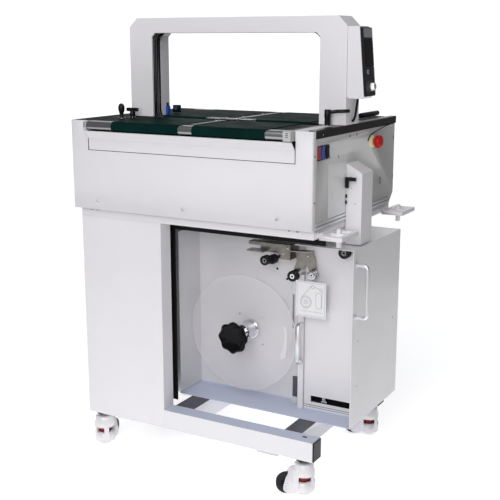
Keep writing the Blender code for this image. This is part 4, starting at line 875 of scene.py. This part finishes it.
# flat and square trim: corners in the same measures as the parts, with a rounded edge
blocks = {
    # black strip, partly a rubber seal and partly painted shade of the gap between the column, the beam and
    # the reel unit
    "column_seal_shade": {"body": "machine_body", "finish": "rubberBlack", "bevel": 0.0006,
                    "boxes": [((0.236, 0.100, 0.1720), (0.3080, 0.103, 0.7570)),
                              ((0.3083, 0.100, 0.7265), (0.8150, 0.103, 0.7570))]},
    # painted shade: black strip behind the flap, standing in for the dark inside of the body
    "notch_shade_strip": {"body": "machine_body", "finish": "rubberBlack", "bevel": 0.0003,
                   "boxes": [((0.0668, 0.0038, 0.9670), (0.7655, 0.0056, 1.0265))]},
    # painted reflection: pale patch on the right side panel beside the chute
    "side_reflection_patch": {"body": "machine_body", "finish": "labelWhite", "bevel": 0.0003,
                   "boxes": [((0.8201, 0.100, 0.806), (0.8207, 0.2185, 0.955))]},
    "side_profile": {"body": "machine_body", "finish": "aluminium", "bevel": 0.0005,
                     "boxes": [((0.8201, 0.020, 0.7960), (0.8226, 0.2195, 0.8030)),
                               ((0.8201, 0.020, 0.7860), (0.8226, 0.2195, 0.7930)),
                               ((0.8201, 0.3008, 0.7960), (0.8226, 0.5600, 0.8030)),
                               ((0.8201, 0.3008, 0.7860), (0.8226, 0.5600, 0.7930))]},
    "side_profile_groove": {"body": "machine_body", "finish": "lineGrey", "bevel": 0.0,
                            "boxes": [((0.8201, 0.0205, 0.7931), (0.8210, 0.2190, 0.7959)),
                                      ((0.8201, 0.3013, 0.7931), (0.8210, 0.5595, 0.7959))]},
    "side_slots": {"body": "machine_body", "finish": "blackPlastic", "bevel": 0.0002,
                   "boxes": [((0.8200, 0.2385, 1.0200), (0.8204, 0.2435, 1.0270)),
                             ((0.8200, 0.2885, 1.0200), (0.8204, 0.2935, 1.0270)),
                             ((0.8200, 0.5850, 0.9860), (0.8204, 0.5890, 0.9960)),
                             ((0.8200, 0.5870, 0.8610), (0.8204, 0.5910, 0.8710)),
                             ((0.8200, 0.4800, 0.8540), (0.8204, 0.4860, 0.8760)),
                             ((0.8200, 0.4270, 0.9680), (0.8204, 0.4330, 0.9720))]},
    "chute_hinges": {"body": "machine_body", "finish": "blackPlastic", "bevel": 0.0006,
                     "boxes": [((0.8204, 0.2155, 0.8480), (0.8250, 0.2200, 0.8580)),
                               ((0.8204, 0.2155, 0.8300), (0.8250, 0.2200, 0.8400))]},
    "rail_end_cap": {"body": "machine_body", "finish": "capNavy", "bevel": 0.0015,
                     "boxes": [((0.7990, 0.5972, 1.0345), (0.8210, 0.6050, 1.0565))]},
    "rail_front_step": {"body": "machine_body", "finish": "railBlack", "bevel": 0.0006,
                        "boxes": [((0.7978, 0.0168, 1.0552), (0.8185, 0.5950, 1.0560))]},
    "tube_caps": {"body": "machine_body", "finish": "blackPlastic", "bevel": 0.0012,
                  "boxes": [((0.8252, 0.0128, 0.1101), (0.8290, 0.0630, 0.1687)),
                            ((0.8252, 0.5055, 0.1101), (0.8290, 0.5557, 0.1687))]},
    # painted shade: black inlay for the shade in the slot of the base tube
    "tube_slot": {"body": "machine_body", "finish": "holeShadeBlack", "bevel": 0.0,
                  "boxes": [((0.7780, 0.0400, 0.1692), (0.7920, 0.0480, 0.1695))]},
    "belt_gap_rail": {"body": "machine_body", "finish": "blackPlastic", "bevel": 0.0005,
                      "boxes": [((0.4165, 0.0180, 1.0541), (0.4395, 0.1930, 1.0562)),
                                ((0.4165, 0.2670, 1.0541), (0.4395, 0.5520, 1.0562))]},
    # painted shade: black plate behind the cabinet window for the shade inside
    "window_shade_plate": {"body": "reel_unit", "finish": "holeShadeBlack", "bevel": 0.0,
                       "boxes": [((0.7050, 0.2620, 0.1760), (0.8735, 0.2640, 0.2400))]},
    "window_sill": {"body": "reel_unit", "finish": "trayPaint", "bevel": 0.0005,
                    "boxes": [((0.6900, 0.2290, 0.1725), (0.8735, 0.2347, 0.1900))]},
    # painted shade: two dark lines along the window sill
    "sill_lines": {"body": "reel_unit", "finish": "holeShadeBlack", "bevel": 0.0,
                   "boxes": [((0.6905, 0.2287, 0.1830), (0.8730, 0.2291, 0.1840)),
                             ((0.6905, 0.2287, 0.1893), (0.8730, 0.2291, 0.1905))]},
    # painted shade: black strips along the flap's gaps to the front panel
    "flap_gap_shade": {"body": "machine_body", "finish": "holeShadeBlack", "bevel": 0.0,
                  "boxes": [((0.0643, -0.0004, 0.9655), (0.7677, 0.0030, 0.9668)),
                            ((0.0643, -0.0004, 0.9655), (0.0656, 0.0030, 1.0270)),
                            ((0.7664, -0.0004, 0.9655), (0.7677, 0.0030, 1.0270))]},
    "window_bolt": {"body": "reel_unit", "finish": "chrome", "bevel": 0.0008,
                    "boxes": [((0.7480, 0.2390, 0.2000), (0.7580, 0.2470, 0.2160)),
                              ((0.7430, 0.2400, 0.1990), (0.7630, 0.2460, 0.2040))]},
    # painted shade: dark strip for the shade in the slot of the reel plate
    "plate_slot": {"body": "reel_unit", "finish": "holeShadeBlack", "bevel": 0.0,
                   "boxes": [((0.6230, 0.2794, 0.4110), (0.6290, 0.2799, 0.5200))]},
    "catch_plate": {"body": "reel_unit", "finish": "boltGrey", "bevel": 0.0008,
                    "boxes": [((0.6455, 0.2390, 0.2020), (0.6605, 0.2436, 0.2680))]},
    "clear_strip": {"body": "reel_unit", "finish": "clearAcrylic", "bevel": 0.0004,
                    "boxes": [((0.6400, 0.2440, 0.1760), (0.6675, 0.2470, 0.5800))]},
    "post_edge": {"body": "reel_unit", "finish": "lineGrey", "bevel": 0.0,
                  "boxes": [((0.6872, 0.2340, 0.1760), (0.6878, 0.2349, 0.6000))]},
    "sensor_block": {"body": "machine_body", "finish": "sensorBlue", "bevel": 0.0012,
                     "boxes": [((0.1585, 0.2740, 1.0580), (0.1720, 0.2880, 1.0850))]},
    "sensor_head": {"body": "machine_body", "finish": "blackPlastic", "bevel": 0.0010,
                    "boxes": [((0.1625, 0.2780, 1.0852), (0.1685, 0.2840, 1.0960)),
                              ((0.1580, 0.2735, 1.0566), (0.1725, 0.2885, 1.0579))]},
    "guide_bracket": {"body": "machine_body", "finish": "blackPlastic", "bevel": 0.0015,
                      "boxes": [((0.1240, 0.3710, 1.0575), (0.1460, 0.3890, 1.0815))]},
    # painted highlight: blue patch on the front of the black guide bracket
    "guide_bracket_highlight": {"body": "machine_body", "finish": "bluePlastic", "bevel": 0.0006,
                           "boxes": [((0.1280, 0.3704, 1.0660), (0.1420, 0.3709, 1.0780))]},
    "head_jaws": {"body": "machine_body", "finish": "chrome", "bevel": 0.0005,
                  "boxes": [((0.4040, 0.2170, 1.0586), (0.4120, 0.2225, 1.0600)),
                            ((0.4520, 0.2170, 1.0586), (0.4600, 0.2225, 1.0600)),
                            ((0.4040, 0.2375, 1.0586), (0.4120, 0.2430, 1.0600)),
                            ((0.4520, 0.2375, 1.0586), (0.4600, 0.2430, 1.0600))]},
}
for name, trim in blocks.items():
    shapes = [blockShape(at(*low), at(*high)) for low, high in trim["boxes"]]
    makePiece(name, shapes, materials[trim["finish"]], trim["body"], bevel=trim["bevel"])
print("trim made:", len(screws) + len(blocks))


rearBarLook = {"start": (0.761, 0.450, 1.0645), "radius": 0.0080, "length": 0.148}
returnRollerLook = {"face": (0.574, 0.2300, 0.6345), "radius": 0.0148}


def rearBar():
    # rounded black bar on the table's rear right corner: a capsule along Y
    start = at(*rearBarLook["start"])
    r, length = rearBarLook["radius"], rearBarLook["length"]
    cap = np.linspace(0, np.pi / 2, 7)
    profile = [(r - r * math.cos(a), max(0.0002, r * math.sin(a))) for a in cap]
    profile += [(length - r + r * math.cos(a), max(0.0002, r * math.sin(a))) for a in cap[::-1]]
    makePiece("rear_bar", [turnedShape(profile, start, (0, 1, 0), 32)], materials["blackPlastic"],
              "machine_body")


def secondRoller():
    # fixed roller behind the feed roller, on the reel plate
    face = at(*returnRollerLook["face"])
    r = returnRollerLook["radius"]
    profile = [(0.0015, 0.0003), (0.0015, r * 0.5), (0.0, r * 0.55), (0.0, r - 0.001), (0.0015, r),
               (0.0035, r - 0.0025),
               (0.0165, r - 0.0025), (0.0185, r), (0.0200, r - 0.001), (0.0202, r * 0.4), (0.0494, r * 0.4)]
    makePiece("return_roller", [turnedShape(profile, face, (0, 1, 0), 56)], materials["rollerBlack"],
              "reel_unit")


def trackHighlightLine():
    # painted highlight: thin bright strip along the bottom of the strap channel, all round the opening
    low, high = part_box("strap_track")
    legLow, legHigh = low.x + 0.0105 + 0.0006, high.x - 0.0105 - 0.0006
    outline = roundedOutline((legLow - 0.0027, low.z + 0.0080), (legHigh + 0.0027, high.z - 0.0080), 0.030,
                             8)
    middle = (low.y + high.y) / 2
    line = ribbonShape(outline, 0.0006, (0, middle + 0.0006, 0), (1, 0, 0), (0, 0, 1), 0.0012, closed=True)
    makePiece("track_highlight_strip", [line], materials["lineGrey"], "machine_body")


def diagramDrawing():
    # reel, rollers and strap path drawn in thin raised lines on the small plate
    low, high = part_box("diagram_plate")
    origin = np.array((low.x, low.y - 0.0002, low.z))
    width, height = high.x - low.x, high.z - low.z
    u, v = np.array((1.0, 0, 0)), np.array((0, 0, 1.0))
    lines = []

    def draw(path, closed=False, thick=0.0009):
        lines.append(ribbonShape(np.array(path), thick, origin, u, v, -0.00018, closed))

    draw(roundedOutline((0.004, 0.004), (width - 0.004, height - 0.004), 0.003, 4), True, 0.0007)
    for radius in (0.0185, 0.0150, 0.0065):
        draw(arcPoints((0.033, 0.046), radius, 0, 350, 35), True)
    draw(arcPoints((0.033, 0.046), 0.0018, 0, 330, 11), True)
    draw(arcPoints((0.055, 0.094), 0.0050, 0, 340, 17), True)
    draw(arcPoints((0.082, 0.088), 0.0040, 0, 340, 17), True)
    draw(np.linspace((0.0165, 0.055), (0.0505, 0.0965), 8))
    draw(np.linspace((0.060, 0.0945), (0.0785, 0.0900), 8))
    draw(roundedOutline((0.066, 0.030), (0.084, 0.078), 0.0085, 6), True)
    draw(np.linspace((0.0860, 0.0880), (0.0860, 0.030), 8))
    draw(np.linspace((0.010, 0.018), (width - 0.010, 0.018), 6), False, 0.0006)
    makePiece("diagram_lines", lines, materials["lineGrey"], "reel_unit")
    frameLines = [blockShape((low.x - 0.0004, low.y - 0.0008, low.z - 0.0004),
                             (high.x + 0.0004, low.y - 0.0002, low.z + 0.0016)),
                  blockShape((low.x - 0.0004, low.y - 0.0008, high.z - 0.0016),
                             (high.x + 0.0004, low.y - 0.0002, high.z + 0.0004))]
    makePiece("diagram_edges", frameLines, materials["labelWhite"], "reel_unit")


panelLook = {"top": 1.329, "bottom": 1.137, "slopeTop": 0.857, "slopeLow": 0.874}


def onFace(y, z, out):
    # point on the control panel's outer face at a height, moved out along its normal
    share = (panelLook["top"] - z) / (panelLook["top"] - panelLook["bottom"])
    x = panelLook["slopeTop"] + share * (panelLook["slopeLow"] - panelLook["slopeTop"])
    return at(x, y, z) + panelNormal * (0.0083 + out)


def controlFace():
    # glossy screen, bezel band, a silver edge strip and small printed marks beside the dial
    up = np.cross(panelNormal, (0, 1, 0))
    up = up / np.linalg.norm(up) * (1 if up[2] > 0 else -1)
    across = np.array((0, 1.0, 0))

    def plate(name, yLow, yHigh, zLow, zHigh, thick, finishName, corner=0.002):
        start = onFace(0.0, zLow, 0.0001)
        tall = np.linalg.norm(onFace(0.0, zHigh, 0.0) - onFace(0.0, zLow, 0.0))
        outline = roundedOutline((yLow, 0.0), (yHigh, tall), corner, 4)
        shape = outlineShape(outline, start, across, up, thick)
        makePiece(name, [shape], materials[finishName], "machine_body", bevel=0.0002)

    plate("screen_glass", 0.2115, 0.2665, 1.2180, 1.2930, 0.0008, "screenBlack")
    plate("screen_band", 0.2100, 0.2690, 1.2975, 1.3225, 0.0006, "lineGrey")
    plate("panel_edge_strip", 0.2700, 0.2718, 1.1400, 1.3230, 0.0010, "aluminium", 0.0006)
    marks = []
    for angle in np.radians(np.linspace(-150, 150, 11)):
        direction = across * math.sin(angle) + up * math.cos(angle)
        side = np.cross(panelNormal, direction)
        centre = dialPlace - panelNormal * 0.0002 + direction * 0.0150
        marks.append(outlineShape([(-0.0003, -0.0010), (0.0003, -0.0010), (0.0003, 0.0010),
                                   (-0.0003, 0.0010)],
                                  centre, side, direction, -0.0002))
    makePiece("dial_scale", marks, materials["labelWhite"], "machine_body")


def cheekSlots():
    # dark slots in the light roller cheeks and in the flap's ends, painted shade of the holes
    shapes = []
    for x in (0.0700, 0.7525):
        for z in (1.0490, 1.0440, 1.0390):
            shapes.append(blockShape(at(x - 0.0035, -0.0244, z - 0.0009),
                                     at(x + 0.0035, -0.0240, z + 0.0009)))
    makePiece("cheek_slots", shapes, materials["holeShadeBlack"], "machine_body")


def leverFerrules():
    # steel collars at the foot of the table's clamps
    collars = {"clamp_grip_left": (0.107, 0.114, 0.0112), "clamp_knob_left": (0.113, 0.163, 0.0104),
               "clamp_lever_right": (0.775, 0.184, 0.0100)}
    for name, (x, y, radius) in collars.items():
        ring = [(0.0, radius - 0.0012), (0.0, radius), (0.0016, radius), (0.0022, radius - 0.0008),
                (0.0022, radius - 0.0012), (0.0, radius - 0.0012)]
        points, faces = turnedShape(ring, at(x, y, 1.0545), (0, 0, 1), 40)
        makePiece(name + "_collar", [(points, faces[:-2])], materials["chrome"], name)


rearBar()
secondRoller()
trackHighlightLine()
diagramDrawing()
controlFace()
cheekSlots()
leverFerrules()
print("small pieces made")


# a pale sweep that glows a little, a dim world and three soft lamps
floorLook = {"colour": (0.90, 0.90, 0.91), "glow": 0.58, "front": -1.7, "reach": 2.6, "bend": 1.0,
             "halfWidth": 2.1,
             "top": 2.8, "rough": 0.85}
worldLook = {"colour": (0.97, 0.98, 1.0), "strength": 0.20}
lampAim = (0.0, 0.0, 0.7)
lamps = {
    "key": {"place": (0.90, -3.1, 1.85), "size": (1.9, 1.9), "power": 50.0, "colour": (1.0, 0.99, 1.0)},
    "top": {"place": (0.2, -1.7, 3.3), "size": (2.0, 1.6), "power": 30.0, "colour": (0.97, 0.98, 1.0)},
    "rim": {"place": (0.4, 1.6, 3.0), "size": (2.2, 1.4), "power": 5.0, "colour": (0.93, 0.96, 1.0)},
}


def studioFloor():
    # flat floor square to the view that turns up in a quarter circle behind the machine
    bend, reach = floorLook["bend"], floorLook["reach"]
    across = math.radians(cameraLook["azimuth"])
    flat = np.linspace(floorLook["front"], reach, 8)
    curve = np.radians(np.linspace(0, 90, 24))
    y = np.concatenate([flat, reach + bend * np.sin(curve[1:])])
    z = np.concatenate([np.zeros(8), bend * (1 - np.cos(curve[1:]))])
    y, z = np.append(y, y[-1]), np.append(z, floorLook["top"])
    s = np.linspace(-floorLook["halfWidth"], floorLook["halfWidth"], 10)
    forward = np.array((-math.sin(across), math.cos(across)))
    right = np.array((math.cos(across), math.sin(across)))
    grid = np.zeros((len(y), len(s), 3))
    grid[..., 0] = y[:, None] * forward[0] + s[None] * right[0]
    grid[..., 1] = y[:, None] * forward[1] + s[None] * right[1]
    grid[..., 2] = z[:, None] - 0.0002
    mesh = bpy.data.meshes.new("floor")
    mesh.from_pydata(grid.reshape(-1, 3).tolist(), [], gridFaces(len(y), len(s), False, False))
    mesh.shade_smooth()
    pale = bpy.data.materials.new("studioPale")
    pale.use_nodes = True
    shader = pale.node_tree.nodes["Principled BSDF"]
    shader.inputs["Base Color"].default_value = (*floorLook["colour"], 1.0)
    shader.inputs["Roughness"].default_value = floorLook["rough"]
    shader.inputs["Emission Color"].default_value = (1.0, 1.0, 1.0, 1.0)
    shader.inputs["Emission Strength"].default_value = floorLook["glow"]
    mesh.materials.append(pale)
    floor = bpy.data.objects.new("floor", mesh)
    bpy.context.scene.collection.objects.link(floor)


def softLight(name, lamp):
    # rectangular lamp turned towards the middle of the machine
    area = bpy.data.lights.new(name, "AREA")
    area.shape = "RECTANGLE"
    area.size, area.size_y = lamp["size"]
    area.energy = lamp["power"]
    area.color = lamp["colour"]
    light = bpy.data.objects.new(name, area)
    bpy.context.scene.collection.objects.link(light)
    light.location = Vector(lamp["place"])
    away = Vector(lamp["place"]) - Vector(lampAim)
    light.rotation_euler = away.to_track_quat("Z", "Y").to_euler()


def studioLight():
    world = bpy.data.worlds.new("studio")
    bpy.context.scene.world = world
    world.use_nodes = True
    background = world.node_tree.nodes["Background"]
    background.inputs["Color"].default_value = (*worldLook["colour"], 1.0)
    background.inputs["Strength"].default_value = worldLook["strength"]
    for name, lamp in lamps.items():
        softLight(name, lamp)


studioFloor()
studioLight()
bpy.context.scene.view_settings.view_transform = "Standard"
print("studio made")
